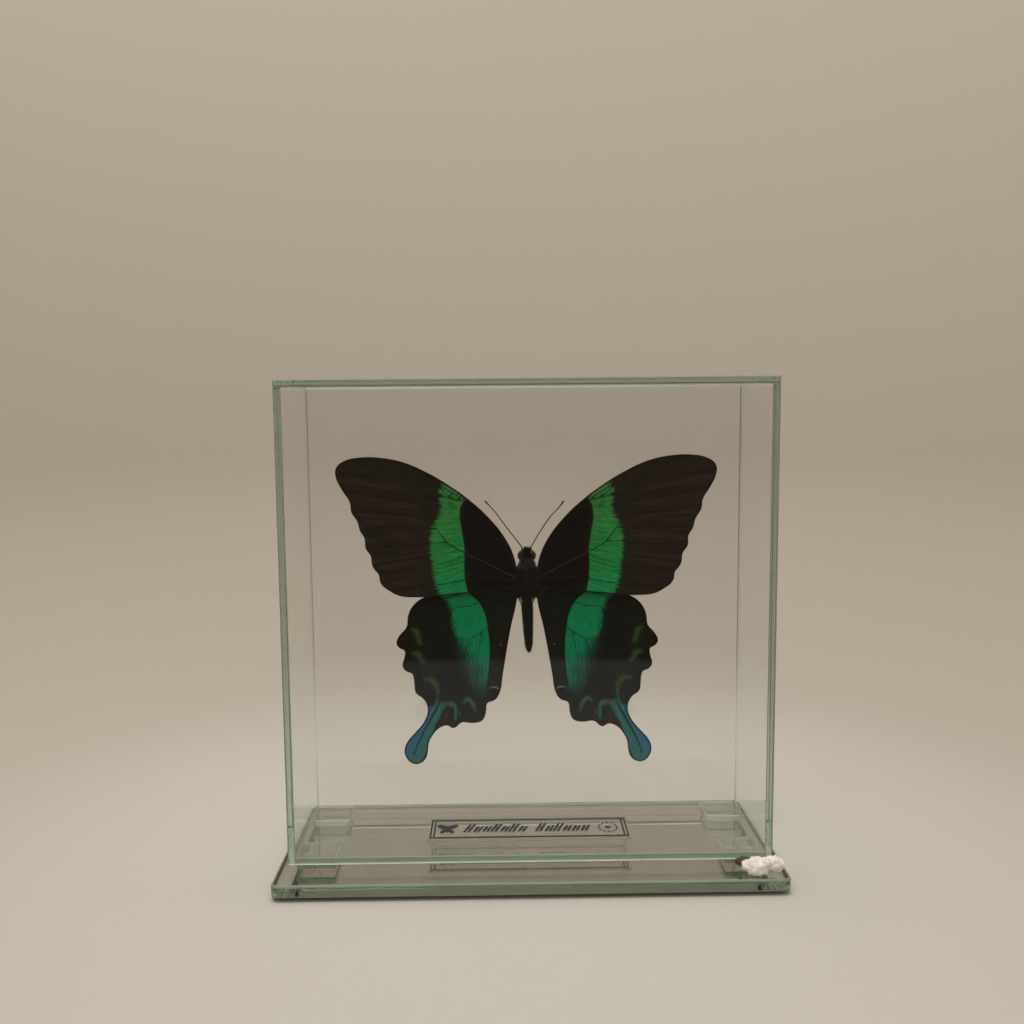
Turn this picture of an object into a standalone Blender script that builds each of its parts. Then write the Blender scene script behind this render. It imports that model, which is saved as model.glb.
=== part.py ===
"""Glass display case on a mirror base, with one spread swallowtail butterfly fixed in it.

The case stands on the XY plane, its front towards -Y, and its origin is the centre of its underside.
Run it with: blender --background --python part.py
"""

import math

import bmesh
import bpy
from mathutils import Vector

MM = 0.001
GAP = 0.3 * MM  # clearance between pieces that touch

# Glass case
CASE_WIDTH = 150 * MM
CASE_DEPTH = 46 * MM
CASE_HEIGHT = 149 * MM
PANE = 2 * MM  # thickness of every pane
PANE_ARRIS = 0.25 * MM

# Mirror base with its feet, and the spacers that carry the case
BASE_WIDTH = 158 * MM
BASE_DEPTH = 63 * MM
BASE_THICKNESS = 4 * MM
BASE_CORNER_RADIUS = 2.5 * MM
BASE_ARRIS = 0.6 * MM
FOOT_HEIGHT = 1.2 * MM
FOOT_RADIUS = 5 * MM
FOOT_INSET = Vector((10.5 * MM, 10.5 * MM))
SPACER_SIDE = 12.5 * MM
SPACER_HEIGHT = 2.5 * MM
SPACER_CORNER_RADIUS = 1.5 * MM
SPACER_X = 67 * MM
SPACER_FRONT_Y = -14 * MM
SPACER_BACK_Y = 15.5 * MM

# Label on the floor of the case
LABEL_WIDTH = 66 * MM
LABEL_DEPTH = 16 * MM
LABEL_THICKNESS = 0.2 * MM
LABEL_Y = -2 * MM

# Heights that follow from the stack
BASE_TOP = FOOT_HEIGHT + BASE_THICKNESS
CASE_BOTTOM = BASE_TOP + SPACER_HEIGHT
CASE_TOP = CASE_BOTTOM + CASE_HEIGHT
FLOOR_TOP = CASE_BOTTOM + PANE
WALL_HEIGHT = CASE_HEIGHT - PANE - GAP

# Butterfly: its outlines are drawn from the point where fore and hind wing meet the body
WING_ROOT = Vector((0, 1.5 * MM, BASE_TOP + 82 * MM))
WING_THICKNESS = 0.5 * MM
WING_DIHEDRAL = math.radians(3)  # each wing leans forward from the body
FOREWING_FORWARD = 0.6 * MM  # the fore wing lies in front of the hind wing
WING_CURVE_STEPS = 3
BODY_SIDES = 20
ANTENNA_RADIUS = 0.3 * MM
POST_RADIUS = 1.5 * MM
POST_Z = WING_ROOT.z + 6 * MM

# Right fore wing, millimetres from the wing root: leading edge, scalloped outer edge, trailing edge
FOREWING_OUTLINE = (
    (3.2, 7.5), (4.2, 13), (7, 19), (12, 25.5), (18, 31.2), (25, 36.4), (32, 40.6), (39, 43.7),
    (46, 45.2), (52.5, 45.4), (57.5, 44.4), (60.2, 42.3), (60.5, 39.5), (58.5, 35), (56.2, 31),
    (55.8, 28), (54, 25), (53.2, 22), (51.8, 19.5), (51.6, 16.5), (50, 13.8), (49.5, 10.5),
    (47.6, 7.8), (47, 5), (44, 2.3), (41, 0.8), (37, 0.3), (30, 0.4), (19, 1.2), (9, 2), (4, 3),
    (3.2, 4.5),
)

# Right hind wing: front edge, scalloped outer edge, tail, scallops towards the body, inner edge
HINDWING_OUTLINE = (
    (3.3, 0.4), (5, 1.6), (10, 2.3), (18, 2.7), (27, 2), (33, 0), (36.6, -2.4), (38.6, -6),
    (39.2, -9.8), (41.5, -12.5), (42.5, -15), (41.6, -16.6), (40, -17.6), (40.1, -20),
    (40.7, -22.4), (39.8, -24.2), (37.6, -25.4), (37, -28.4), (36.6, -31.6), (34, -34),
    (32.8, -37), (33.8, -41), (36.8, -44.8), (39.6, -48), (40.6, -50.8), (40, -53.4), (38, -55.4),
    (35.8, -55.5), (33.8, -54), (33, -51.6), (32.6, -48.6), (31, -45.6), (29, -43.7), (26.5, -43),
    (24.5, -43.9), (21.6, -42.1), (18.4, -42.4), (15, -41.6), (13.8, -39), (13.2, -35.8),
    (10.8, -34.8), (9.1, -32.2), (8.2, -27), (6.8, -18.5), (5.2, -10), (3.4, -2),
)

# Turned body, millimetres: radius and height above the wing root, from the head to the tip
BODY_PROFILE = (
    (0, 15.8), (1.2, 15.5), (2.4, 14.6), (3, 13.2), (2.6, 11.9), (2.2, 11.2), (2.6, 9.8), (2.8, 6),
    (2.6, 2), (2.1, -0.6), (1.9, -2.2), (2.1, -5), (2.05, -9), (1.8, -13.5), (1.4, -17),
    (0.7, -18.8), (0, -19.2),
)

# Each antenna, millimetres outwards and up from the wing root: they aren't quite alike
ANTENNA_ROUTES = {
    "left": ((1.8, 16.2), (4.2, 19.4), (6.6, 22.6), (9.8, 27.1), (12, 29.6), (13.3, 31)),
    "right": ((1.6, 16.2), (3.6, 19.7), (6.8, 24.6), (8.8, 27), (10.6, 28.9), (12, 30.8)),
}

# Rough lump of putty on the base, at the foot of the case's front right corner
PUTTY_LOBES = (
    (Vector((69.3, -26.8, 2.1)) * MM, Vector((3.9, 3.1, 2.9)) * MM),
    (Vector((74.4, -25.8, 2.3)) * MM, Vector((3.4, 2.3, 2.6)) * MM),
)

SIDES = {"left": -1, "right": 1}
ENDS = {"front": -1, "back": 1}


def clear_scene():
    """Remove every object, so that the script can be run again."""
    for old in list(bpy.data.objects):
        bpy.data.objects.remove(old, do_unlink=True)


def new_collection(name):
    """A collection of its own in the scene."""
    group = bpy.data.collections.new(name)
    bpy.context.scene.collection.children.link(group)
    return group


def material(name, colour, roughness, metallic=0.0):
    """A plain Principled material."""
    made = bpy.data.materials.new(name)
    made.use_nodes = True
    shader = made.node_tree.nodes["Principled BSDF"]
    shader.inputs["Base Color"].default_value = (*colour, 1)
    shader.inputs["Roughness"].default_value = roughness
    shader.inputs["Metallic"].default_value = metallic
    made.diffuse_color = (*colour, 1)
    return made


def add_object(group, name, data, finish, location=(0, 0, 0)):
    """Put mesh or curve data in the scene as one named piece."""
    piece = bpy.data.objects.new(name, data)
    data.materials.append(finish)
    piece.location = location
    group.objects.link(piece)
    return piece


def add_bevel(piece, width):
    """A narrow ground edge all round a slab."""
    bevel = piece.modifiers.new("Arris", "BEVEL")
    bevel.width = width
    bevel.segments = 1
    bevel.limit_method = "ANGLE"
    bevel.angle_limit = math.radians(40)
    return bevel


def slab(group, name, size, location, finish, corner_radius=0.0, arris=0.0):
    """A flat slab centred on its location, with its upright edges rounded and its rims ground."""
    bm = bmesh.new()
    bmesh.ops.create_cube(bm, size=1)
    bmesh.ops.scale(bm, vec=size, verts=bm.verts)
    if corner_radius:
        upright = [e for e in bm.edges if abs(e.verts[0].co.z - e.verts[1].co.z) > size[2] / 2]
        bmesh.ops.bevel(
            bm, geom=upright, offset=corner_radius, offset_type="OFFSET", segments=6,
            profile=0.5, affect="EDGES",
        )
    mesh = bpy.data.meshes.new(name)
    bm.to_mesh(mesh)
    bm.free()
    piece = add_object(group, name, mesh, finish, location)
    if arris:
        add_bevel(piece, arris)
    return piece


def disc(group, name, radius, height, location, finish):
    """A short upright cylinder centred on its location."""
    bm = bmesh.new()
    bmesh.ops.create_cone(
        bm, cap_ends=True, segments=24, radius1=radius, radius2=radius, depth=height
    )
    mesh = bpy.data.meshes.new(name)
    bm.to_mesh(mesh)
    bm.free()
    return add_object(group, name, mesh, finish, location)


def build_base(group):
    """Mirror base plate, its four thin feet, and the four clear spacers on top of it."""
    mirror = material("Silvered float glass", (0.42, 0.45, 0.4), 0.05, 1.0)
    rubber = material("Black rubber", (0.03, 0.03, 0.03), 0.8)
    clear = material("Clear silicone", (0.7, 0.73, 0.68), 0.2)

    slab(
        group, "base_plate", (BASE_WIDTH, BASE_DEPTH, BASE_THICKNESS),
        (0, 0, FOOT_HEIGHT + BASE_THICKNESS / 2), mirror, BASE_CORNER_RADIUS, BASE_ARRIS,
    )
    foot_height = FOOT_HEIGHT - GAP
    spacer_height = SPACER_HEIGHT - 2 * GAP
    spacer_y = {"front": SPACER_FRONT_Y, "back": SPACER_BACK_Y}
    for end, along_y in ENDS.items():
        for side, along_x in SIDES.items():
            foot_x = along_x * (BASE_WIDTH / 2 - FOOT_INSET.x)
            foot_y = along_y * (BASE_DEPTH / 2 - FOOT_INSET.y)
            disc(
                group, f"foot_{end}_{side}", FOOT_RADIUS, foot_height,
                (foot_x, foot_y, foot_height / 2), rubber,
            )
            slab(
                group, f"spacer_{end}_{side}", (SPACER_SIDE, SPACER_SIDE, spacer_height),
                (along_x * SPACER_X, spacer_y[end], BASE_TOP + SPACER_HEIGHT / 2), clear,
                SPACER_CORNER_RADIUS,
            )


def build_case(group):
    """Floor, four walls and lid, each one cut pane."""
    glass = material("Float glass", (0.75, 0.82, 0.75), 0.04)
    wall_z = CASE_BOTTOM + WALL_HEIGHT / 2

    slab(
        group, "floor_pane",
        (CASE_WIDTH - 2 * (PANE + GAP), CASE_DEPTH - 2 * (PANE + GAP), PANE),
        (0, 0, CASE_BOTTOM + PANE / 2), glass, arris=PANE_ARRIS,
    )
    slab(
        group, "top_pane", (CASE_WIDTH, CASE_DEPTH, PANE), (0, 0, CASE_TOP - PANE / 2), glass,
        arris=PANE_ARRIS,
    )
    for end, along_y in ENDS.items():
        slab(
            group, f"{end}_pane", (CASE_WIDTH, PANE, WALL_HEIGHT),
            (0, along_y * (CASE_DEPTH - PANE) / 2, wall_z), glass, arris=PANE_ARRIS,
        )
    for side, along_x in SIDES.items():
        slab(
            group, f"{side}_pane", (PANE, CASE_DEPTH - 2 * (PANE + GAP), WALL_HEIGHT),
            (along_x * (CASE_WIDTH - PANE) / 2, 0, wall_z), glass, arris=PANE_ARRIS,
        )


def build_label(group):
    """Printed film lying on the floor of the case."""
    film = material("Printed clear film", (0.45, 0.47, 0.45), 0.4)
    slab(
        group, "label", (LABEL_WIDTH, LABEL_DEPTH, LABEL_THICKNESS),
        (0, LABEL_Y, FLOOR_TOP + GAP + LABEL_THICKNESS / 2), film,
    )


def build_putty(group, cutters):
    """Two-lobed lump, flat where it sits on the base and where it meets the front pane."""
    chalky = material("Dried putty", (0.8, 0.72, 0.67), 0.9)
    lobes = []
    for index, (centre, radii) in enumerate(PUTTY_LOBES):
        bm = bmesh.new()
        bmesh.ops.create_icosphere(bm, subdivisions=2, radius=1)
        bmesh.ops.scale(bm, vec=radii, verts=bm.verts)
        mesh = bpy.data.meshes.new(f"putty_lobe_{index}")
        bm.to_mesh(mesh)
        bm.free()
        home = group if index == 0 else cutters
        lobes.append(add_object(home, mesh.name, mesh, chalky, centre + Vector((0, 0, BASE_TOP))))
    lump, other = lobes
    lump.name = "putty_lump"

    reach = 20 * MM
    below = slab(
        cutters, "cut_below_putty", (reach, reach, reach),
        (72 * MM, -27 * MM, BASE_TOP + GAP - reach / 2), chalky,
    )
    behind = slab(
        cutters, "cut_behind_putty", (reach, reach, reach),
        (72 * MM, reach / 2 - CASE_DEPTH / 2 - GAP, BASE_TOP), chalky,
    )
    for operand, operation in ((other, "UNION"), (below, "DIFFERENCE"), (behind, "DIFFERENCE")):
        operand.hide_render = True
        operand.display_type = "WIRE"
        boolean = lump.modifiers.new(operand.name, "BOOLEAN")
        boolean.operation = operation
        boolean.solver = "EXACT"
        boolean.object = operand


def wing(group, name, outline, side, forward, finish):
    """One wing: a flat outline, mirrored for the left side and leaned forward from the body."""
    curve = bpy.data.curves.new(name, "CURVE")
    curve.dimensions = "2D"
    curve.fill_mode = "BOTH"
    curve.extrude = WING_THICKNESS / 2
    curve.resolution_u = WING_CURVE_STEPS
    spline = curve.splines.new("BEZIER")
    spline.bezier_points.add(len(outline) - 1)
    for point, (across, up) in zip(spline.bezier_points, outline):
        point.co = (side * across * MM, up * MM, 0)
        point.handle_left_type = point.handle_right_type = "AUTO"
    spline.use_cyclic_u = True
    piece = add_object(group, name, curve, finish, WING_ROOT - Vector((0, forward, 0)))
    piece.rotation_euler = (math.pi / 2, 0, -side * WING_DIHEDRAL)
    return piece


def build_body(group, finish):
    """Head, thorax and abdomen in one turned form."""
    bm = bmesh.new()
    ring = [bm.verts.new((radius * MM, 0, up * MM)) for radius, up in BODY_PROFILE]
    for upper, lower in zip(ring, ring[1:]):
        bm.edges.new((upper, lower))
    mesh = bpy.data.meshes.new("butterfly_body")
    bm.to_mesh(mesh)
    bm.free()
    piece = add_object(group, "butterfly_body", mesh, finish, WING_ROOT)
    turn = piece.modifiers.new("Turn", "SCREW")
    turn.steps = turn.render_steps = BODY_SIDES
    turn.use_merge_vertices = True
    turn.merge_threshold = 0.01 * MM
    turn.use_smooth_shade = True
    return piece


def antenna(group, name, route, side, finish):
    """One feeler, a thin tube that leans out from the head."""
    curve = bpy.data.curves.new(name, "CURVE")
    curve.dimensions = "3D"
    curve.bevel_depth = ANTENNA_RADIUS
    curve.bevel_resolution = 1
    curve.use_fill_caps = True
    spline = curve.splines.new("POLY")
    spline.points.add(len(route) - 1)
    for point, (across, up) in zip(spline.points, route):
        point.co = (side * across * MM, 0, up * MM, 1)
    return add_object(group, name, curve, finish, WING_ROOT)


def build_butterfly(group):
    """Body, four wings, two antennae, and the clear post that holds the body to the back pane."""
    velvet = material("Black wing scales", (0.02, 0.016, 0.012), 0.8)
    banded = material("Green banded wing scales", (0.01, 0.16, 0.07), 0.5)
    chitin = material("Black chitin", (0.015, 0.012, 0.01), 0.5)
    acrylic = material("Clear acrylic", (0.8, 0.82, 0.8), 0.1)

    build_body(group, velvet)
    for side, along_x in SIDES.items():
        wing(group, f"forewing_{side}", FOREWING_OUTLINE, along_x, FOREWING_FORWARD, banded)
        wing(group, f"hindwing_{side}", HINDWING_OUTLINE, along_x, -FOREWING_FORWARD, banded)
        antenna(group, f"antenna_{side}", ANTENNA_ROUTES[side], along_x, chitin)

    body_radius = max(radius for radius, _ in BODY_PROFILE) * MM
    post_start = WING_ROOT.y + body_radius + GAP
    post_end = CASE_DEPTH / 2 - PANE - GAP
    post = disc(
        group, "mounting_post", POST_RADIUS, post_end - post_start,
        (0, (post_start + post_end) / 2, POST_Z), acrylic,
    )
    post.rotation_euler = (math.pi / 2, 0, 0)


def main():
    """Build every piece of the display case."""
    clear_scene()
    parts = new_collection("Butterfly display case")
    cutters = new_collection("Cutters")
    build_base(parts)
    build_case(parts)
    build_label(parts)
    build_putty(parts, cutters)
    build_butterfly(parts)


main()
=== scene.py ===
"""The looks of a glass display case on a mirror base, with one spread swallowtail butterfly fixed in it.

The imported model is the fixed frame. Every visible piece is built here around it: cut glass panes, the
silvered base with its clear pads, the printed label, a lump of dried putty, and the specimen itself with
scaled wings, raised veins, a hairy body and ringed antennae.
"""

import logging
import math
import random
from collections.abc import Callable, Iterable, Sequence
from dataclasses import dataclass, field
from enum import Enum

import bmesh
import bpy
import numpy as np
from bmesh.types import BMesh
from bpy.types import Material, Mesh, Node, NodeSocket, NodeTree, Object
from mathutils import Matrix, Vector, noise
from mathutils.geometry import interpolate_bezier


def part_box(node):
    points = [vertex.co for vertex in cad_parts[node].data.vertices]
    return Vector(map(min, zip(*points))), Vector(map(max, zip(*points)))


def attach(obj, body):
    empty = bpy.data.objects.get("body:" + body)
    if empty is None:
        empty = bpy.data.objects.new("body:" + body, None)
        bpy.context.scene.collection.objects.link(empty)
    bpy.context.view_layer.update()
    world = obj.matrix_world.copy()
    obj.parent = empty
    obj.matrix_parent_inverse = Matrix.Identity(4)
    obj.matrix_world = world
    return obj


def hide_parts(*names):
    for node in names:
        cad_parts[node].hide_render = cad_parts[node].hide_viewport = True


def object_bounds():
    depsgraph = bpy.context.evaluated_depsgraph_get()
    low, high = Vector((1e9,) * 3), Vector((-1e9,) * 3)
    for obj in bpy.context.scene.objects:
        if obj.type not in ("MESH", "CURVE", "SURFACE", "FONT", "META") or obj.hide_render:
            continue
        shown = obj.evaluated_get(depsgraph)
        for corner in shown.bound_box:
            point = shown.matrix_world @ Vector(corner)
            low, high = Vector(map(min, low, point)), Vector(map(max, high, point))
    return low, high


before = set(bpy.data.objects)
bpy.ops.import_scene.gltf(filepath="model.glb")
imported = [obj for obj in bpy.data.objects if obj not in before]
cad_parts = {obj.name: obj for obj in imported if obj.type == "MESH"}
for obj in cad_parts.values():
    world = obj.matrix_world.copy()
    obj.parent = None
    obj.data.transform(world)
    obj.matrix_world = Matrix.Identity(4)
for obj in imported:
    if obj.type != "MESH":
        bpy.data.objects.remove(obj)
CAD_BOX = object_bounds()

MM = 0.001
BODY = "root"
SEED = 7
MERGE = 0.002 * MM  # doubles closer than this are one point
BROAD = 10 * MM * MM  # faces above this area are flat, or their shading would bend light like a lens

log = logging.getLogger("display_case")

Point = tuple[float, float]


class Side(Enum):
    """Left and right, as the sign of x."""

    LEFT = -1
    RIGHT = 1

    @property
    def word(self) -> str:
        """The side's name as node names spell it."""
        return self.name.lower()


class End(Enum):
    """Front and back, as the sign of y."""

    FRONT = -1
    BACK = 1

    @property
    def word(self) -> str:
        """The end's name as node names spell it."""
        return self.name.lower()


# ---------------------------------------------------------------- shared helpers


def linear(colour: str) -> tuple[float, float, float, float]:
    """Turn an sRGB hex colour into the linear values that shaders use.

    Args:
        colour: Six hex digits, red first.

    Returns:
        Linear red, green and blue, and an alpha of one.
    """
    parts = [int(colour[i:i + 2], 16) / 255 for i in (0, 2, 4)]
    turned = [c / 12.92 if c <= 0.04045 else ((c + 0.055) / 1.055) ** 2.4 for c in parts]
    return (*turned, 1.0)


def add_node(tree: NodeTree, kind: str, inputs: dict | None = None, **settings: object) -> Node:
    """Add one node, with its settings and links.

    Args:
        tree: The node tree that takes it.
        kind: The node's type without "ShaderNode".
        inputs: Values or sockets by input name or number. A socket is linked, a value is set.
        **settings: Attributes of the node itself.

    Returns:
        The new node.
    """
    made = tree.nodes.new("ShaderNode" + kind)
    for key, value in settings.items():
        setattr(made, key, value)
    for key, value in (inputs or {}).items():
        if isinstance(value, NodeSocket):
            tree.links.new(value, made.inputs[key])
        else:
            made.inputs[key].default_value = value
    return made


def smooth_route(points: Sequence[Sequence[float]], steps: int = 6, closed: bool = False) -> np.ndarray:
    """Run one smooth curve through a few points.

    Args:
        points: Two- or three-dimensional points.
        steps: Spans between one point and the next.
        closed: Whether the curve comes back to its first point.

    Returns:
        The finer points, one a row.
    """
    knots = [Vector(p).to_3d() for p in points]
    count = len(knots)
    spans = count if closed else count - 1
    fine = []
    for i in range(spans):
        here, there = knots[i], knots[(i + 1) % count]
        before = knots[i - 1] if closed or i else here
        after = knots[(i + 2) % count] if closed or i + 2 < count else there
        out_handle = here + (there - before) / 6
        in_handle = there - (after - here) / 6
        fine.extend(interpolate_bezier(here, out_handle, in_handle, there, steps + 1)[:-1])
    if not closed:
        fine.append(knots[-1])
    return np.array([tuple(p) for p in fine])[:, :len(points[0])]


def nearest(points: np.ndarray, route: np.ndarray) -> tuple[np.ndarray, np.ndarray, np.ndarray]:
    """Measure points against a route in a plane.

    Args:
        points: The points to measure, one a row.
        route: The route's points, one a row.

    Returns:
        The distance to the route, the share of the route's length at the nearest place, and on which
        side of it the point lies: 1 to the left of its direction, -1 to the right.
    """
    lengths = np.linalg.norm(np.diff(route, axis=0), axis=1)
    starts = np.concatenate(([0.0], np.cumsum(lengths)))
    best = np.full(len(points), np.inf)
    share = np.zeros(len(points))
    side = np.ones(len(points))
    for i, (a, b) in enumerate(zip(route, route[1:])):
        run = b - a
        along = np.clip(((points - a) @ run) / max(run @ run, 1e-12), 0, 1)
        off = points - (a + along[:, None] * run)
        distance = np.hypot(off[:, 0], off[:, 1])
        closer = distance < best
        best = np.where(closer, distance, best)
        share = np.where(closer, (starts[i] + along * lengths[i]) / starts[-1], share)
        turn = run[0] * off[:, 1] - run[1] * off[:, 0]
        side = np.where(closer, np.where(turn >= 0, 1.0, -1.0), side)
    return best, share, side


def slab(lo: Vector, hi: Vector, corner: float = 0.0, arris: float = 0.0, steps: int = 2) -> BMesh:
    """A slab between two corners, with rounded upright edges and ground rims.

    Args:
        lo: Its lowest corner.
        hi: Its highest corner.
        corner: Radius of the upright edges.
        arris: Width of the ground edge all round.
        steps: Segments across that ground edge.

    Returns:
        The closed mesh.
    """
    bm = bmesh.new()
    bmesh.ops.create_cube(bm, size=1)
    bmesh.ops.scale(bm, vec=hi - lo, verts=bm.verts)
    bmesh.ops.translate(bm, vec=(lo + hi) / 2, verts=bm.verts)
    if corner:
        upright = [e for e in bm.edges if abs(e.verts[0].co.z - e.verts[1].co.z) > 0.9 * (hi - lo).z]
        bmesh.ops.bevel(
            bm, geom=upright, offset=corner, offset_type="OFFSET", segments=10, profile=0.5,
            affect="EDGES", material=-1,
        )
        bm.normal_update()
    if arris:
        rims = [e for e in bm.edges if e.calc_face_angle(0) > math.radians(40)]
        bmesh.ops.bevel(
            bm, geom=rims, offset=arris, offset_type="OFFSET", segments=steps, profile=0.5,
            affect="EDGES", material=-1,
        )
    bm.normal_update()
    return bm


def dress_arris(bm: BMesh, material_index: int = 1) -> None:
    """Give the sloping ground edges of a slab a material of their own."""
    for face in bm.faces:
        if max(abs(n) for n in face.normal) < 0.95 and abs(face.normal.z) > 0.1:
            face.material_index = material_index


def tubes(routes: Iterable[Sequence[tuple[Sequence[float], float]]], roundness: int = 1) -> Mesh:
    """Closed, tapered round tubes, all in one mesh.

    Args:
        routes: For each tube, its points with the radius at each.
        roundness: The bevel resolution, where 0 gives four sides and each step two more.

    Returns:
        A mesh of the tubes, which the caller removes once it is used.
    """
    curve = bpy.data.curves.new("tubes", "CURVE")
    curve.dimensions = "3D"
    curve.bevel_depth = 1
    curve.bevel_resolution = roundness
    curve.use_fill_caps = True
    for route in routes:
        spline = curve.splines.new("POLY")
        spline.points.add(len(route) - 1)
        for knot, (place, radius) in zip(spline.points, route):
            knot.co = (*place, 1)
            knot.radius = radius
    holder = bpy.data.objects.new("tubes", curve)
    bpy.context.scene.collection.objects.link(holder)
    ready = holder.evaluated_get(bpy.context.evaluated_depsgraph_get())
    mesh = bpy.data.meshes.new_from_object(ready)
    bpy.data.objects.remove(holder)
    bpy.data.curves.remove(curve)
    return mesh


def take_in(bm: BMesh, mesh: Mesh, material_index: int = 0) -> None:
    """Add a loose mesh to a bmesh, in the given material, and remove it.

    Args:
        bm: The mesh that grows.
        mesh: The mesh to add.
        material_index: The material slot that the added faces take.
    """
    known = set(bm.faces)
    bm.from_mesh(mesh)
    for face in set(bm.faces) - known:
        face.material_index = material_index
    bpy.data.meshes.remove(mesh)


def place_piece(
    name: str, bm: BMesh, finishes: Sequence[Material], stands_for: Sequence[str],
    smooth: float = 40.0,
) -> Object:
    """Turn a bmesh into a finished piece that rides on the frame.

    Args:
        name: The piece's name.
        bm: Its mesh in metres, already in place. It is freed.
        finishes: Its materials, in the order of the faces' material indices.
        stands_for: The frame's nodes that it replaces.
        smooth: Edges flatter than this many degrees are shaded smooth.

    Returns:
        The piece.
    """
    mesh = bpy.data.meshes.new(name)
    bm.to_mesh(mesh)
    bm.free()
    for finish in finishes:
        mesh.materials.append(finish)
    mesh.shade_smooth()
    mesh.set_sharp_from_angle(angle=math.radians(smooth))
    for face in mesh.polygons:
        face.use_smooth = face.area < BROAD
    piece = bpy.data.objects.new(name, mesh)
    bpy.context.scene.collection.objects.link(piece)
    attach(piece, BODY)
    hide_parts(*stands_for)
    log.info("%s: %d faces", name, len(mesh.polygons))
    return piece


# ---------------------------------------------------------------- finishes


@dataclass(frozen=True)
class Finish:
    """What every finish shares: its name, and how its material starts."""

    name: str

    def start(self) -> tuple[Material, NodeTree, Node]:
        """Make an empty material with its output node.

        Returns:
            The material, its node tree, and the output node.
        """
        made = bpy.data.materials.new(self.name)
        made.use_nodes = True
        made.node_tree.nodes.clear()
        return made, made.node_tree, add_node(made.node_tree, "OutputMaterial")


@dataclass(frozen=True)
class ClearFinish(Finish):
    """A see-through solid whose tint comes only from what it absorbs, so that long paths look deep.

    The surface carries a faint haze of handling, which softens what is seen through it here and there.
    """

    ior: float = 1.52
    tint: str = "a0c8b0"
    density: float = 10.0  # absorption per metre of path
    matt: float = 0.0  # roughness of the whole surface, for a ground edge
    frost: float = 0.0  # share of the light that a ground edge scatters back
    powder: str = "ffffff"  # colour of that scattered light
    haze: float = 0.02  # roughness added where the surface has been handled
    haze_size: float = 14.0  # mm across a patch of haze

    def build(self) -> Material:
        """Make the material.

        Returns:
            The finished material.
        """
        made, tree, output = self.start()
        place = add_node(tree, "TexCoord").outputs["Object"]
        patches = add_node(
            tree, "TexNoise", {"Vector": place, "Scale": 1 / (self.haze_size * MM), "Detail": 3.0},
        )
        rough = add_node(
            tree, "MapRange",
            {
                "Value": patches.outputs["Fac"], "From Min": 0.5, "From Max": 0.8,
                "To Min": self.matt, "To Max": self.matt + self.haze,
            },
        )
        shader = add_node(
            tree, "BsdfPrincipled",
            {
                "Base Color": linear(self.powder), "Roughness": rough.outputs[0], "IOR": self.ior,
                "Transmission Weight": 1.0 - self.frost,
            },
        )
        lamp_ray = add_node(tree, "LightPath").outputs["Is Shadow Ray"]
        open_way = add_node(tree, "BsdfTransparent")
        mixed = add_node(
            tree, "MixShader", {0: lamp_ray, 1: shader.outputs[0], 2: open_way.outputs[0]},
        )
        depth = add_node(
            tree, "VolumeAbsorption", {"Color": linear(self.tint), "Density": self.density},
        )
        tree.links.new(mixed.outputs[0], output.inputs["Surface"])
        tree.links.new(depth.outputs[0], output.inputs["Volume"])
        return made


@dataclass(frozen=True)
class MottledFinish(Finish):
    """An opaque surface with two tones of one colour, a grain, and roughness that varies with them."""

    dark: str = "202020"
    light: str = "303030"
    roughness: tuple[float, float] = (0.4, 0.6)
    mottle: float = 2.0  # mm across a patch of tone
    grain: float = 0.2  # mm across a grain of the relief
    relief: float = 0.2  # strength of the relief
    metallic: float = 0.0
    specular: float = 0.5
    coat: float = 0.0

    def tones(self, tree: NodeTree, place: NodeSocket) -> tuple[NodeSocket, NodeSocket]:
        """Lay out the two tones.

        Args:
            tree: The material's node tree.
            place: Where on the piece.

        Returns:
            The colour, and the pattern behind it from 0 to 1.
        """
        patches = add_node(
            tree, "TexNoise", {"Vector": place, "Scale": 1 / (self.mottle * MM), "Detail": 5.0},
        )
        tone = add_node(
            tree, "MapRange", {"Value": patches.outputs["Fac"], "From Min": 0.32, "From Max": 0.68},
        ).outputs[0]
        mixed = add_node(
            tree, "Mix", {0: tone, 6: linear(self.dark), 7: linear(self.light)}, data_type="RGBA",
        )
        return mixed.outputs[2], tone

    def build(self) -> Material:
        """Make the material.

        Returns:
            The finished material.
        """
        made, tree, output = self.start()
        place = add_node(tree, "TexCoord").outputs["Object"]
        colour, tone = self.tones(tree, place)
        rough = add_node(
            tree, "MapRange",
            {"Value": tone, "To Min": self.roughness[0], "To Max": self.roughness[1]},
        )
        grains = add_node(
            tree, "TexNoise", {"Vector": place, "Scale": 1 / (self.grain * MM), "Detail": 2.0},
        )
        bump = add_node(
            tree, "Bump",
            {"Height": grains.outputs["Fac"], "Strength": self.relief, "Distance": self.grain * MM},
        )
        shader = add_node(
            tree, "BsdfPrincipled",
            {
                "Base Color": colour, "Roughness": rough.outputs[0], "Metallic": self.metallic,
                "Normal": bump.outputs[0], "Specular IOR Level": self.specular,
                "Coat Weight": self.coat,
            },
        )
        tree.links.new(shader.outputs[0], output.inputs["Surface"])
        return made


@dataclass(frozen=True)
class BandPaint:
    """The bright band across a wing, in colours from its lower end to its upper end."""

    colours: tuple[str, ...]
    heights: tuple[float, float]  # mm above the wing root at the first and the last colour
    foot: tuple[float, float] = (-60.0, -59.0)  # mm above the root between which it dies out
    edge_wander: float = 0.35  # mm that the sharp edge wanders


@dataclass(frozen=True)
class Paint:
    """One marking's colour on one face of a wing."""

    marking: str
    colour: str
    feather: float = 0.4  # mm over which its edge fades
    strength: float = 1.0


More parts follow.
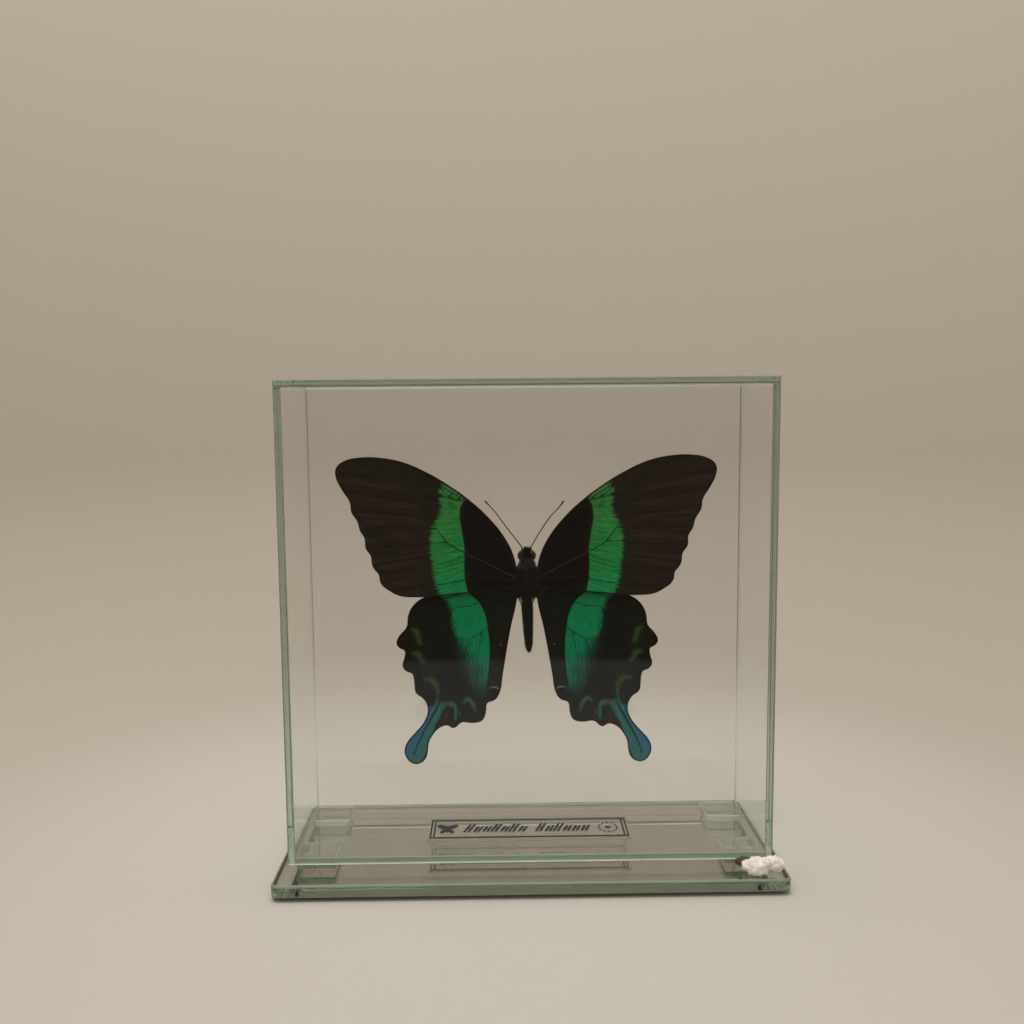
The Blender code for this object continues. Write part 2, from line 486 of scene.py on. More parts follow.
@dataclass(frozen=True)
class WingScales(Finish):
    """Overlapping scales on a wing membrane: a velvety ground, a bright band, and painted markings.

    Real scales are 0.1 mm wide. They are drawn about three times as coarse, so that their grain shows.
    """

    dark: str = "15110d"
    light: str = "231c15"
    ray_light: str = "2e261c"
    dust: str = "2c3a20"
    dust_share: float = 0.3
    vein: str = "0e0c0a"
    basal: float = 1.0  # how bright the ground is between the band and the body
    band: BandPaint | None = None
    paints: tuple[Paint, ...] = ()
    root_height: float = 0.0  # metres, where the wings meet the body
    scale_size: float = 0.3  # mm

    def stretched(
        self, tree: NodeTree, rays: NodeSocket, along: float, across: float, detail: float = 2.0,
    ) -> NodeSocket:
        """Noise drawn out along the wing's rays.

        Args:
            tree: The material's node tree.
            rays: Position along and across the rays, in millimetres.
            along: Millimetres that a streak is long.
            across: Millimetres that a streak is wide.
            detail: How much finer noise is laid over it.

        Returns:
            The noise, around 0.5.
        """
        laid = add_node(
            tree, "Mapping", {"Vector": rays, "Scale": (1 / along, 1 / across, 1)},
        )
        return add_node(
            tree, "TexNoise", {"Vector": laid.outputs[0], "Scale": 1.0, "Detail": detail},
        ).outputs["Fac"]

    def value(self, tree: NodeTree, name: str) -> NodeSocket:
        """Read one of the distances stored on the wing."""
        return add_node(tree, "Attribute", attribute_name=name).outputs["Fac"]

    def step(
        self, tree: NodeTree, value: NodeSocket, low: float, high: float, bottom: float = 0.0,
        top: float = 1.0,
    ) -> NodeSocket:
        """Turn a value into a soft step.

        Args:
            tree: The material's node tree.
            value: What is stepped.
            low: Where the step starts.
            high: Where it ends, which may be below its start.
            bottom: Its value before the start.
            top: Its value past the end.

        Returns:
            The stepped value.
        """
        return add_node(
            tree, "MapRange",
            {"Value": value, "From Min": low, "From Max": high, "To Min": bottom, "To Max": top},
            interpolation_type="SMOOTHSTEP",
        ).outputs[0]

    def sway(self, tree: NodeTree, value: NodeSocket, pattern: NodeSocket, amount: float) -> NodeSocket:
        """Move a distance by a pattern that lies around 0.5.

        Args:
            tree: The material's node tree.
            value: The distance.
            pattern: The pattern.
            amount: How far it moves the distance, end to end.

        Returns:
            The moved distance.
        """
        centred = add_node(tree, "Math", {0: pattern, 1: 0.5}, operation="SUBTRACT")
        return add_node(
            tree, "Math", {0: centred.outputs[0], 1: amount, 2: value}, operation="MULTIPLY_ADD",
        ).outputs[0]

    def product(self, tree: NodeTree, first: NodeSocket, second: NodeSocket | float) -> NodeSocket:
        """Multiply two values."""
        return add_node(tree, "Math", {0: first, 1: second}, operation="MULTIPLY").outputs[0]

    def over(
        self, tree: NodeTree, under: NodeSocket, colour: NodeSocket | str, share: NodeSocket | float,
        blend: str = "MIX",
    ) -> NodeSocket:
        """Lay one colour over another.

        Args:
            tree: The material's node tree.
            under: What is painted over.
            colour: The paint, as a socket or an sRGB hex colour.
            share: How much of it covers.
            blend: The Mix node's blend type.

        Returns:
            The mixed colour.
        """
        paint = linear(colour) if isinstance(colour, str) else colour
        return add_node(
            tree, "Mix", {0: share, 6: under, 7: paint}, data_type="RGBA", blend_type=blend,
        ).outputs[2]

    def paint_band(
        self, tree: NodeTree, under: NodeSocket, place: NodeSocket, rays: NodeSocket,
    ) -> tuple[NodeSocket, NodeSocket]:
        """Lay the bright band: sharp towards the body, combed out into streaks towards the tip.

        Args:
            tree: The material's node tree.
            under: The ground colour.
            place: Object coordinates.
            rays: Position along and across the wing's rays.

        Returns:
            The colour with the band, and the band's share.
        """
        inner = self.sway(
            tree, self.value(tree, "band_inner"), self.stretched(tree, rays, 3, 0.5),
            self.band.edge_wander,
        )
        outer = self.sway(
            tree, self.value(tree, "band_outer"), self.stretched(tree, rays, 5, 0.35, 4), 3.4,
        )
        share = self.product(
            tree, self.step(tree, inner, -0.14, 0.2), self.step(tree, outer, -0.5, 0.55),
        )
        height = add_node(tree, "SeparateXYZ", {0: place}).outputs["Z"]
        foot, top = (self.root_height + h * MM for h in self.band.foot)
        share = self.product(tree, share, self.step(tree, height, foot, top))
        low, high = (self.root_height + h * MM for h in self.band.heights)
        ramp = add_node(
            tree, "ValToRGB",
            {0: add_node(tree, "MapRange", {"Value": height, "From Min": low, "From Max": high}).outputs[0]},
        )
        stops = ramp.color_ramp.elements
        while len(stops) < len(self.band.colours):
            stops.new(0.5)
        for index, (stop, colour) in enumerate(zip(stops, self.band.colours)):
            stop.position = index / (len(self.band.colours) - 1)
            stop.color = linear(colour)
        streaks = self.step(tree, self.stretched(tree, rays, 9, 0.55, 3), 0.3, 0.7, 0.72, 1.2)
        crinkles = self.step(tree, self.stretched(tree, rays, 1.4, 0.35, 3), 0.35, 0.65, 0.86, 1.1)
        green = self.over(tree, ramp.outputs[0], self.product(tree, streaks, crinkles), 1.0, "MULTIPLY")
        return self.over(tree, under, green, share), share

    def build(self) -> Material:
        """Make the material.

        Returns:
            The finished material.
        """
        made, tree, output = self.start()
        place = add_node(tree, "TexCoord").outputs["Object"]
        rays = add_node(tree, "Attribute", attribute_name="rays").outputs["Vector"]
        scales = add_node(
            tree, "TexVoronoi", {"Vector": place, "Scale": 1 / (self.scale_size * MM)},
        )
        grain = scales.outputs["Distance"]
        streaks = self.stretched(tree, rays, 14, 0.55, 4)

        ground = add_node(
            tree, "Mix",
            {0: self.step(tree, streaks, 0.35, 0.65), 6: linear(self.dark), 7: linear(self.light)},
            data_type="RGBA",
        ).outputs[2]
        between_veins = self.product(
            tree, self.step(tree, self.value(tree, "vein"), 0.5, 1.6),
            self.step(tree, self.value(tree, "band_inner"), 8, 16),
        )
        ray_share = self.product(tree, between_veins, self.step(tree, streaks, 0.4, 0.62))
        ground = self.over(tree, ground, self.ray_light, ray_share)
        specks = add_node(
            tree, "TexNoise", {"Vector": place, "Scale": 1 / (0.35 * MM), "Detail": 2.0},
        ).outputs["Fac"]
        dusted = self.product(tree, self.step(tree, specks, 0.56, 0.68), self.dust_share)
        ground = self.over(tree, ground, self.dust, dusted)
        basal = self.step(tree, self.value(tree, "band_inner"), -1.5, 0.5, self.basal, 1.0)
        ground = self.over(tree, ground, basal, 1.0, "MULTIPLY")

        gloss = 0.0
        colour = ground
        if self.band:
            colour, gloss = self.paint_band(tree, ground, place, rays)
        edge_noise = self.stretched(tree, rays, 1.2, 0.35, 3)
        for paint in self.paints:
            reach = self.sway(tree, self.value(tree, paint.marking), edge_noise, 2 * paint.feather)
            share = self.product(
                tree, self.step(tree, reach, paint.feather, -paint.feather), paint.strength,
            )
            colour = self.over(tree, colour, paint.colour, share)
        veined = self.step(tree, self.value(tree, "vein"), 0.12, 0.0, 0.0, 0.85)
        colour = self.over(tree, colour, self.vein, veined)
        rimmed = self.step(tree, self.value(tree, "rim"), 0.75, 0.3)
        colour = self.over(tree, colour, self.dark, rimmed)
        # painted shade and highlight: each scale is darker towards its edges and lighter at its middle
        painted_scale_shade = self.step(tree, grain, 0.1, 0.9, 1.12, 0.72)
        colour = self.over(tree, colour, painted_scale_shade, 1.0, "MULTIPLY")

        rough = self.step(tree, gloss, 0, 1, 0.75, 0.5) if self.band else 0.8
        relief = self.product(tree, grain, 1.0)
        bump = add_node(
            tree, "Bump", {"Height": relief, "Strength": 0.25, "Distance": self.scale_size * MM},
        )
        shader = add_node(
            tree, "BsdfPrincipled",
            {
                "Base Color": colour, "Roughness": rough, "Normal": bump.outputs[0],
                "Specular IOR Level": 0.04,
            },
        )
        tree.links.new(shader.outputs[0], output.inputs["Surface"])
        return made


# ---------------------------------------------------------------- studio


@dataclass
class Studio:
    """Camera, soft lights, and a paper sweep that closes round the object on every side, painted darker at the front as
    painted shade.
    """

    camera_place: Vector = field(default_factory=lambda: Vector((-8.36, -325.76, 148.46)) * MM)
    pan: float = -0.655  # degrees
    tilt: float = -5.949
    roll: float = -0.497
    lens: float = 35.86  # mm, on a 36 mm sensor
    sweep_radius: float = 350 * MM
    sweep_height: float = 520 * MM
    cove: float = 120 * MM  # radius between floor and wall

    def build_camera(self) -> None:
        """Set the camera in front of the case, a little above its lid and looking slightly down."""
        data = bpy.data.cameras.new("camera")
        data.lens = self.lens
        data.sensor_width = 36
        data.clip_start = 0.01
        data.clip_end = 10
        camera = bpy.data.objects.new("camera", data)
        camera.matrix_world = (
            Matrix.Translation(self.camera_place)
            @ Matrix.Rotation(math.radians(self.pan), 4, "Z")
            @ Matrix.Rotation(math.radians(90 + self.tilt), 4, "X")
            @ Matrix.Rotation(math.radians(self.roll), 4, "Z")
        )
        bpy.context.scene.collection.objects.link(camera)
        bpy.context.scene.camera = camera

    def paper(self) -> Material:
        """Matt backdrop paper: pale on the floor, a warm grey up the wall, and painted darker behind the camera.

        That painted shade, standing in for an unlit room behind the camera, is what the panes mirror. It keeps the
        specimen's blacks deep.

        Returns:
            Its material.
        """
        made, tree, output = Finish("matt_backdrop_paper").start()
        place = add_node(tree, "TexCoord").outputs["Object"]
        distance = add_node(tree, "VectorMath", {0: place}, operation="LENGTH").outputs["Value"]
        rise = add_node(
            tree, "MapRange", {"Value": distance, "From Min": 0.12, "From Max": 0.33},
            interpolation_type="SMOOTHSTEP",
        ).outputs[0]
        tone = add_node(
            tree, "Mix", {0: rise, 6: linear("c3bfb7"), 7: linear("b6aea4")}, data_type="RGBA",
        ).outputs[2]
        # painted shade: towards the front, behind the camera, the paper's tone is multiplied down to 0.28, as if the
        # room there were unlit
        forward = add_node(tree, "SeparateXYZ", {0: place}).outputs["Y"]
        painted_front_shade = add_node(
            tree, "MapRange",
            {"Value": forward, "From Min": -0.1, "From Max": -0.25, "To Min": 1.0, "To Max": 0.28},
            interpolation_type="SMOOTHSTEP",
        ).outputs[0]
        tone = add_node(
            tree, "Mix", {0: 1.0, 6: tone, 7: painted_front_shade}, data_type="RGBA", blend_type="MULTIPLY",
        ).outputs[2]
        fibres = add_node(tree, "TexNoise", {"Vector": place, "Scale": 900.0, "Detail": 3.0})
        bump = add_node(tree, "Bump", {"Height": fibres.outputs["Fac"], "Strength": 0.05, "Distance": MM})
        shader = add_node(
            tree, "BsdfPrincipled",
            {
                "Base Color": tone, "Roughness": 0.9, "Specular IOR Level": 0.1,
                "Normal": bump.outputs[0],
            },
        )
        tree.links.new(shader.outputs[0], output.inputs["Surface"])
        return made

    def build_sweep(self) -> None:
        """Turn the floor, its cove and the wall in two halves.

        The front half isn't mirrored in the glass, as a photographer keeps a room dark behind the camera.
        """
        paper = self.paper()
        flat = self.sweep_radius - self.cove
        profile = [Vector((0, 0, 0)), Vector((flat, 0, 0))]
        for step in range(1, 13):
            turn = math.radians(90 * step / 12)
            profile.append(
                Vector((flat + self.cove * math.sin(turn), 0, self.cove * (1 - math.cos(turn))))
            )
        profile.append(Vector((self.sweep_radius, 0, self.sweep_height)))
        for end in End:
            bm = bmesh.new()
            line = [bm.verts.new(p) for p in profile]
            for a, b in zip(line, line[1:]):
                bm.edges.new((a, b))
            bmesh.ops.spin(
                bm, geom=list(bm.verts) + list(bm.edges), cent=(0, 0, 0), axis=(0, 0, 1),
                angle=end.value * math.pi, steps=48,
            )
            bmesh.ops.remove_doubles(bm, verts=bm.verts, dist=MERGE)
            bmesh.ops.recalc_face_normals(bm, faces=bm.faces)
            mesh = bpy.data.meshes.new(f"sweep_{end.word}")
            bm.to_mesh(mesh)
            bm.free()
            mesh.materials.append(paper)
            mesh.shade_smooth()
            half = bpy.data.objects.new(mesh.name, mesh)
            bpy.context.scene.collection.objects.link(half)
            half.visible_shadow = False
            half.visible_glossy = sum(v.co.y for v in mesh.vertices) > 0

    def add_softbox(self, name: str, place: Vector, target: Vector, size: float, watts: float) -> None:
        """Hang one soft square light.

        Args:
            name: Its name.
            place: Where it hangs.
            target: What it faces.
            size: Its side.
            watts: Its power.
        """
        data = bpy.data.lights.new(name, "AREA")
        data.shape = "SQUARE"
        data.size = size
        data.energy = watts
        data.color = linear("fffaf2")[:3]
        lamp = bpy.data.objects.new(name, data)
        lamp.location = place
        lamp.rotation_euler = (target - place).to_track_quat("-Z", "Y").to_euler()
        lamp.visible_glossy = False
        lamp.visible_camera = False
        bpy.context.scene.collection.objects.link(lamp)

    def build_sky(self) -> None:
        """Even light from above, dim near the horizon so that it leaves no veil on the glass."""
        world = bpy.data.worlds.new("studio_light")
        world.use_nodes = True
        tree = world.node_tree
        tree.nodes.clear()
        ray = add_node(tree, "TexCoord").outputs["Generated"]
        height = add_node(tree, "SeparateXYZ", {0: ray}).outputs["Z"]
        above = add_node(
            tree, "MapRange",
            {"Value": height, "From Min": 0.12, "From Max": 0.55, "To Min": 0.01, "To Max": 0.54},
            interpolation_type="SMOOTHSTEP",
        ).outputs[0]
        table = add_node(
            tree, "MapRange",
            {"Value": height, "From Min": -0.2426, "From Max": -0.2476, "To Min": 0.0, "To Max": 0.26},
        ).outputs[0]
        strength = add_node(tree, "Math", {0: above, 1: table}, operation="ADD").outputs[0]
        glow = add_node(tree, "Background", {"Color": linear("fffaf2"), "Strength": strength})
        output = add_node(tree, "OutputWorld")
        tree.links.new(glow.outputs[0], output.inputs["Surface"])
        bpy.context.scene.world = world

    def set_paths(self) -> None:
        """Let light pass through and inside many panes, and keep colours as they are lit."""
        scene = bpy.context.scene
        scene.view_settings.view_transform = "Standard"
        scene.cycles.max_bounces = 32
        scene.cycles.transmission_bounces = 28
        scene.cycles.glossy_bounces = 12
        scene.cycles.transparent_max_bounces = 24
        scene.cycles.diffuse_bounces = 3

    def build(self) -> None:
        """Set up the camera, the sweep, the lights and the sky."""
        self.build_camera()
        self.build_sweep()
        middle = (CAD_BOX[0] + CAD_BOX[1]) / 2
        self.add_softbox("overhead", middle + Vector((-0.08, -0.1, 0.6)), middle, 0.5, 2.95)
        self.add_softbox("front", middle + Vector((0.15, -0.55, 0.35)), middle, 0.45, 1.42)
        self.build_sky()
        self.set_paths()


# ---------------------------------------------------------------- base and case


@dataclass
class MirrorBase:
    """The silvered glass base, its rubber feet and the clear pads that carry the case."""

    corner: float = 2.5 * MM
    arris: float = 0.6 * MM
    silvering: float = 0.03 * MM  # thickness of the paint that backs the silver
    pad_corner: float = 1.5 * MM
    pad_arris: float = 0.45 * MM
    foot_arris: float = 0.2 * MM
    joint: float = 0.03 * MM  # what is left of the gap between a pad and the glass

    def build_plate(self) -> None:
        """Cut the plate: clear glass all round, silver under it, and backing paint under that."""
        lo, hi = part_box("base_plate")
        bm = slab(lo + Vector((0, 0, 2 * self.silvering)), hi, self.corner, self.arris)
        dress_arris(bm, 3)
        for face in bm.faces:
            if face.normal.z < -0.9:
                face.material_index = 1
        paint = slab(lo, Vector((hi.x, hi.y, lo.z + self.silvering)), self.corner)
        inset = Vector(((hi.x - self.arris) / hi.x, (hi.y - self.arris) / hi.y, 1))
        bmesh.ops.scale(paint, vec=inset, verts=paint.verts)
        mesh = bpy.data.meshes.new("backing")
        paint.to_mesh(mesh)
        paint.free()
        take_in(bm, mesh, 2)
        glass = ClearFinish("float_glass_4_mm", tint="80c79e", density=10, haze=0.01).build()
        ground = ClearFinish(
            "ground_edge_4_mm", tint="80c79e", density=10, matt=0.4, haze=0.1, frost=0.4, powder="b4c6ae",
        ).build()
        silver = MottledFinish(
            "silvering", dark="e0deda", light="eae8e4", roughness=(0.0, 0.01), mottle=18,
            relief=0.0, metallic=1.0,
        ).build()
        backing = MottledFinish("grey_backing_paint", dark="2e302e", light="3b3d3a").build()
        place_piece(
            "mirror_plate", bm, (glass, silver, backing, ground), ["base_plate"], 30,
        )

    def build_feet(self) -> None:
        """Four thin black rubber discs, with their rims rounded."""
        rubber = MottledFinish(
            "black_rubber", dark="141413", light="1e1e1c", roughness=(0.6, 0.85), mottle=1.5,
            grain=0.15,
        ).build()
        for end in End:
            for side in Side:
                node = f"foot_{end.word}_{side.word}"
                lo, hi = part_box(node)
                bm = bmesh.new()
                bmesh.ops.create_cone(
                    bm, cap_ends=True, segments=48, radius1=(hi.x - lo.x) / 2,
                    radius2=(hi.x - lo.x) / 2, depth=hi.z - lo.z,
                    matrix=Matrix.Translation((lo + hi) / 2),
                )
                rims = [e for e in bm.edges if e.calc_face_angle(0) > math.radians(40)]
                bmesh.ops.bevel(
                    bm, geom=rims, offset=self.foot_arris, offset_type="OFFSET", segments=3,
                    profile=0.5, affect="EDGES", material=-1,
                )
                place_piece(f"rubber_{node}", bm, (rubber,), [node])

    def build_pads(self) -> None:
        """Four clear square pads with soft rims, pressed between the base and the case. Their rims are frosted pale as
        a painted highlight.
        """
        clear = ClearFinish(
            "clear_polyurethane", ior=1.48, tint="c4d0c0", density=14, haze=0.04, haze_size=3,
        ).build()
        # painted highlight: the rims scatter a pale colour (d4dccd) back, standing in for light refracted along the pad
        # edges
        rim = ClearFinish(
            "pad_rim_painted_highlight", ior=1.48, tint="d0d8cb", density=8, matt=0.25, haze=0.1, frost=0.42,
            powder="d4dccd",
        ).build()
        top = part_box("floor_pane")[0].z - self.joint
        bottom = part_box("base_plate")[1].z + self.joint
        for end in End:
            for side in Side:
                node = f"spacer_{end.word}_{side.word}"
                lo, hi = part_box(node)
                bm = slab(
                    Vector((lo.x, lo.y, bottom)), Vector((hi.x, hi.y, top)), self.pad_corner,
                    self.pad_arris, 3,
                )
                for face in bm.faces:
                    face.material_index = int(abs(face.normal.z) < 0.95)
                place_piece(f"clear_pad_{end.word}_{side.word}", bm, (clear, rim), [node])

    def build(self) -> None:
        """Build the plate, the feet and the pads."""
        self.build_plate()
        self.build_feet()
        self.build_pads()


@dataclass
class GlassCase:
    """Six cut panes glued edge to edge with clear glue."""

    arris: float = 0.22 * MM
    joint: float = 0.02 * MM  # the glue line between two panes

    def pane_box(self, node: str) -> tuple[Vector, Vector]:
        """Take a pane's box from the frame, and close its gap to its neighbours down to the glue line.

        Args:
            node: The pane's node.

        Returns:
            Its lowest and its highest corner.
        """
        lo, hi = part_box(node)
        inner = self.pane_thickness()
        case_lo, case_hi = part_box("top_pane")
        lid = case_lo.z - self.joint
        if node in ("left_pane", "right_pane"):
            lo.y, hi.y = case_lo.y + inner + self.joint, case_hi.y - inner - self.joint
        if node == "floor_pane":
            lo.x, hi.x = case_lo.x + inner + self.joint, case_hi.x - inner - self.joint
            lo.y, hi.y = case_lo.y + inner + self.joint, case_hi.y - inner - self.joint
        elif node != "top_pane":
            hi.z = lid
        return lo, hi

    def pane_thickness(self) -> float:
        """The thickness of every pane."""
        lo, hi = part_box("front_pane")
        return hi.y - lo.y

    def build(self) -> None:
        """Cut every pane with its own narrow arris."""
        glass = ClearFinish("float_glass_2_mm", tint="98c2a0", density=18, haze=0.01).build()
        ground = ClearFinish(
            "ground_edge_2_mm", tint="98c2a0", density=18, matt=0.4, haze=0.1, frost=0.36, powder="aebda6",
        ).build()
        for wall in ("floor", "front", "back", "left", "right", "top"):
            node = f"{wall}_pane"
            bm = slab(*self.pane_box(node), arris=self.arris, steps=1)
            for face in bm.faces:
                sloping = max(abs(n) for n in face.normal) < 0.95
                hidden_end = face.normal.z < -0.9 if wall != "floor" else abs(face.normal.z) < 0.5
                face.material_index = int(sloping or (hidden_end and wall != "top"))
            place_piece(f"glass_{wall}", bm, (glass, ground), [node], 30)


@dataclass
class Label:
    """A clear film on the floor of the case, printed with a border, an icon, bars and a ring.

    The bars stand where a name would be. They are no lettering.
    """

    ink_height: float = 0.02 * MM
    side_line: float = 0.55 * MM
    long_line: float = 1.15 * MM
    margin: float = 0.7 * MM
    end_gap: float = 0.6 * MM  # between the two lines at each end
    slant: float = math.radians(18)
    tall: float = 6.2 * MM
    low: float = 4.4 * MM
    bars: str = "TllTlTl TlTlll"  # tall and low pairs of bars, and one space

    def add_patch(self, bm: BMesh, lo: Vector, hi: Vector, lean: float = 0.0) -> None:
        """Print one rectangle, which may lean over.

        Args:
            bm: The print so far.
            lo: Its lower corner.
            hi: Its upper corner.
            lean: How far it leans over to the right.
        """
        made = bmesh.ops.create_grid(bm, x_segments=1, y_segments=1, size=0.5)
        shear = Matrix.Diagonal((hi.x - lo.x, hi.y - lo.y, 1, 1))
        shear[0][1] = math.tan(lean) * (hi.y - lo.y)
        placed = Matrix.Translation((lo + hi) / 2) @ shear
        bmesh.ops.transform(bm, matrix=placed, verts=made["verts"])

    def blot(self, bm: BMesh, centre: Vector, radii: Vector, turn: float = 0.0) -> None:
        """Print one oval.

        Args:
            bm: The print so far.
            centre: Its centre.
            radii: Its half width and half height.
            turn: How far it is turned.
        """
        made = bmesh.ops.create_circle(bm, cap_ends=True, segments=20, radius=1)
        placed = Matrix.Translation(centre) @ Matrix.Rotation(turn, 4, "Z") @ Matrix.Diagonal(
            (radii.x, radii.y, 1, 1)
        )
        bmesh.ops.transform(bm, matrix=placed, verts=made["verts"])

    def print_border(self, bm: BMesh, lo: Vector, hi: Vector) -> None:
        """Print a long line above and below, and two short ones at each end.

        Args:
            bm: The print so far.
            lo: The border's lower corner.
            hi: The border's upper corner.
        """
        tall, wide, deep = Vector((0, hi.y - lo.y, 0)), Vector((hi.x - lo.x, 0, 0)), Vector((0, self.long_line, 0))
        self.add_patch(bm, lo, lo + wide + deep)
        self.add_patch(bm, hi - wide - deep, hi)
        thin = Vector((self.side_line, 0, 0))
        inset = Vector((0, self.long_line * 1.02, 0))
        for start in (0.0, self.side_line + self.end_gap):
            shift = Vector((start, 0, 0))
            self.add_patch(bm, lo + shift + inset, lo + shift + thin + tall - inset)
            self.add_patch(bm, hi - shift - thin - tall + inset, hi - shift - inset)

    def print_icon(self, bm: BMesh, centre: Vector) -> None:
        """Print a plain butterfly.

        Args:
            bm: The print so far.
            centre: Its centre.
        """
        for side in Side:
            s = side.value
            self.blot(bm, centre + Vector((s * 1.6, 1.5, 0)) * MM, Vector((1.3, 2.4)) * MM, -s * 0.7)
            self.blot(bm, centre + Vector((s * 1.2, -1.8, 0)) * MM, Vector((0.9, 1.7)) * MM, s * 0.5)
        self.blot(bm, centre, Vector((0.4, 3.2)) * MM)

    def print_bars(self, bm: BMesh, start: Vector, reach: float) -> None:
        """Print slanted bars in pairs.

        Args:
            bm: The print so far.
            start: The left end of their foot line.
            reach: How far they run.
        """
        pitch = reach / len(self.bars)
        stroke = Vector((0.9 * MM, 0, 0))
        for index, kind in enumerate(self.bars):
            if kind == " ":
                continue
            height = Vector((0, self.tall if kind == "T" else self.low, 0))
            for shift in (0.12, 0.58):
                foot = start + Vector(((index + shift) * pitch, 0, 0))
                self.add_patch(bm, foot, foot + stroke + height, self.slant)
            joint = start + Vector(((index + 0.12) * pitch, 0.45 * height.y, 0))
            self.add_patch(bm, joint, joint + Vector((0.5 * pitch, 0.7 * MM, 0)))

    def build_print(self, lo: Vector, hi: Vector) -> None:
        """Print the border, the icon, the bars and the ring.

        Args:
            lo: The film's lowest corner.
            hi: The film's highest corner.
        """
        bm = bmesh.new()
        edge = Vector((self.margin, self.margin, 0))
        face = Vector((lo.x, lo.y, hi.z))
        self.print_border(bm, face + edge, hi - edge)
        middle = (face + hi) / 2
        self.print_icon(bm, Vector((lo.x + 6.2 * MM, middle.y, hi.z)))
        self.print_bars(bm, Vector((lo.x + 12 * MM, middle.y - 2.6 * MM, hi.z)), 41 * MM)
        ring = Vector((hi.x - 7 * MM, middle.y, hi.z))
        for index in range(12):
            turn = math.tau * index / 12
            spot = ring + Vector((math.cos(turn) * 3, math.sin(turn) * 3.6, 0)) * MM
            self.blot(bm, spot, Vector((0.6, 0.35)) * MM, turn + math.pi / 2)
        self.blot(bm, ring, Vector((1.1, 0.8)) * MM)

        bm.normal_update()
        bmesh.ops.solidify(bm, geom=bm.faces, thickness=-self.ink_height)
        bmesh.ops.translate(bm, vec=(0, 0, 0.01 * MM), verts=bm.verts)
        bmesh.ops.recalc_face_normals(bm, faces=bm.faces)
        ink = MottledFinish(
            "printed_ink", dark="0d1119", light="171d29", roughness=(0.5, 0.65), mottle=0.8,
            grain=0.1, relief=0.1, specular=0.15,
        ).build()
        place_piece("label_print", bm, (ink,), ["label"])

    def build(self) -> None:
        """Cut the film and print on it."""
        lo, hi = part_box("label")
        lo.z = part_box("floor_pane")[1].z + 0.03 * MM
        film = ClearFinish(
            "clear_polyester_film", ior=1.57, tint="dfe3da", density=60, haze=0.06, haze_size=6,
        ).build()
        place_piece("label_sheet", slab(lo, hi, corner=0.6 * MM), (film,), ["label"])
        self.build_print(lo, hi)


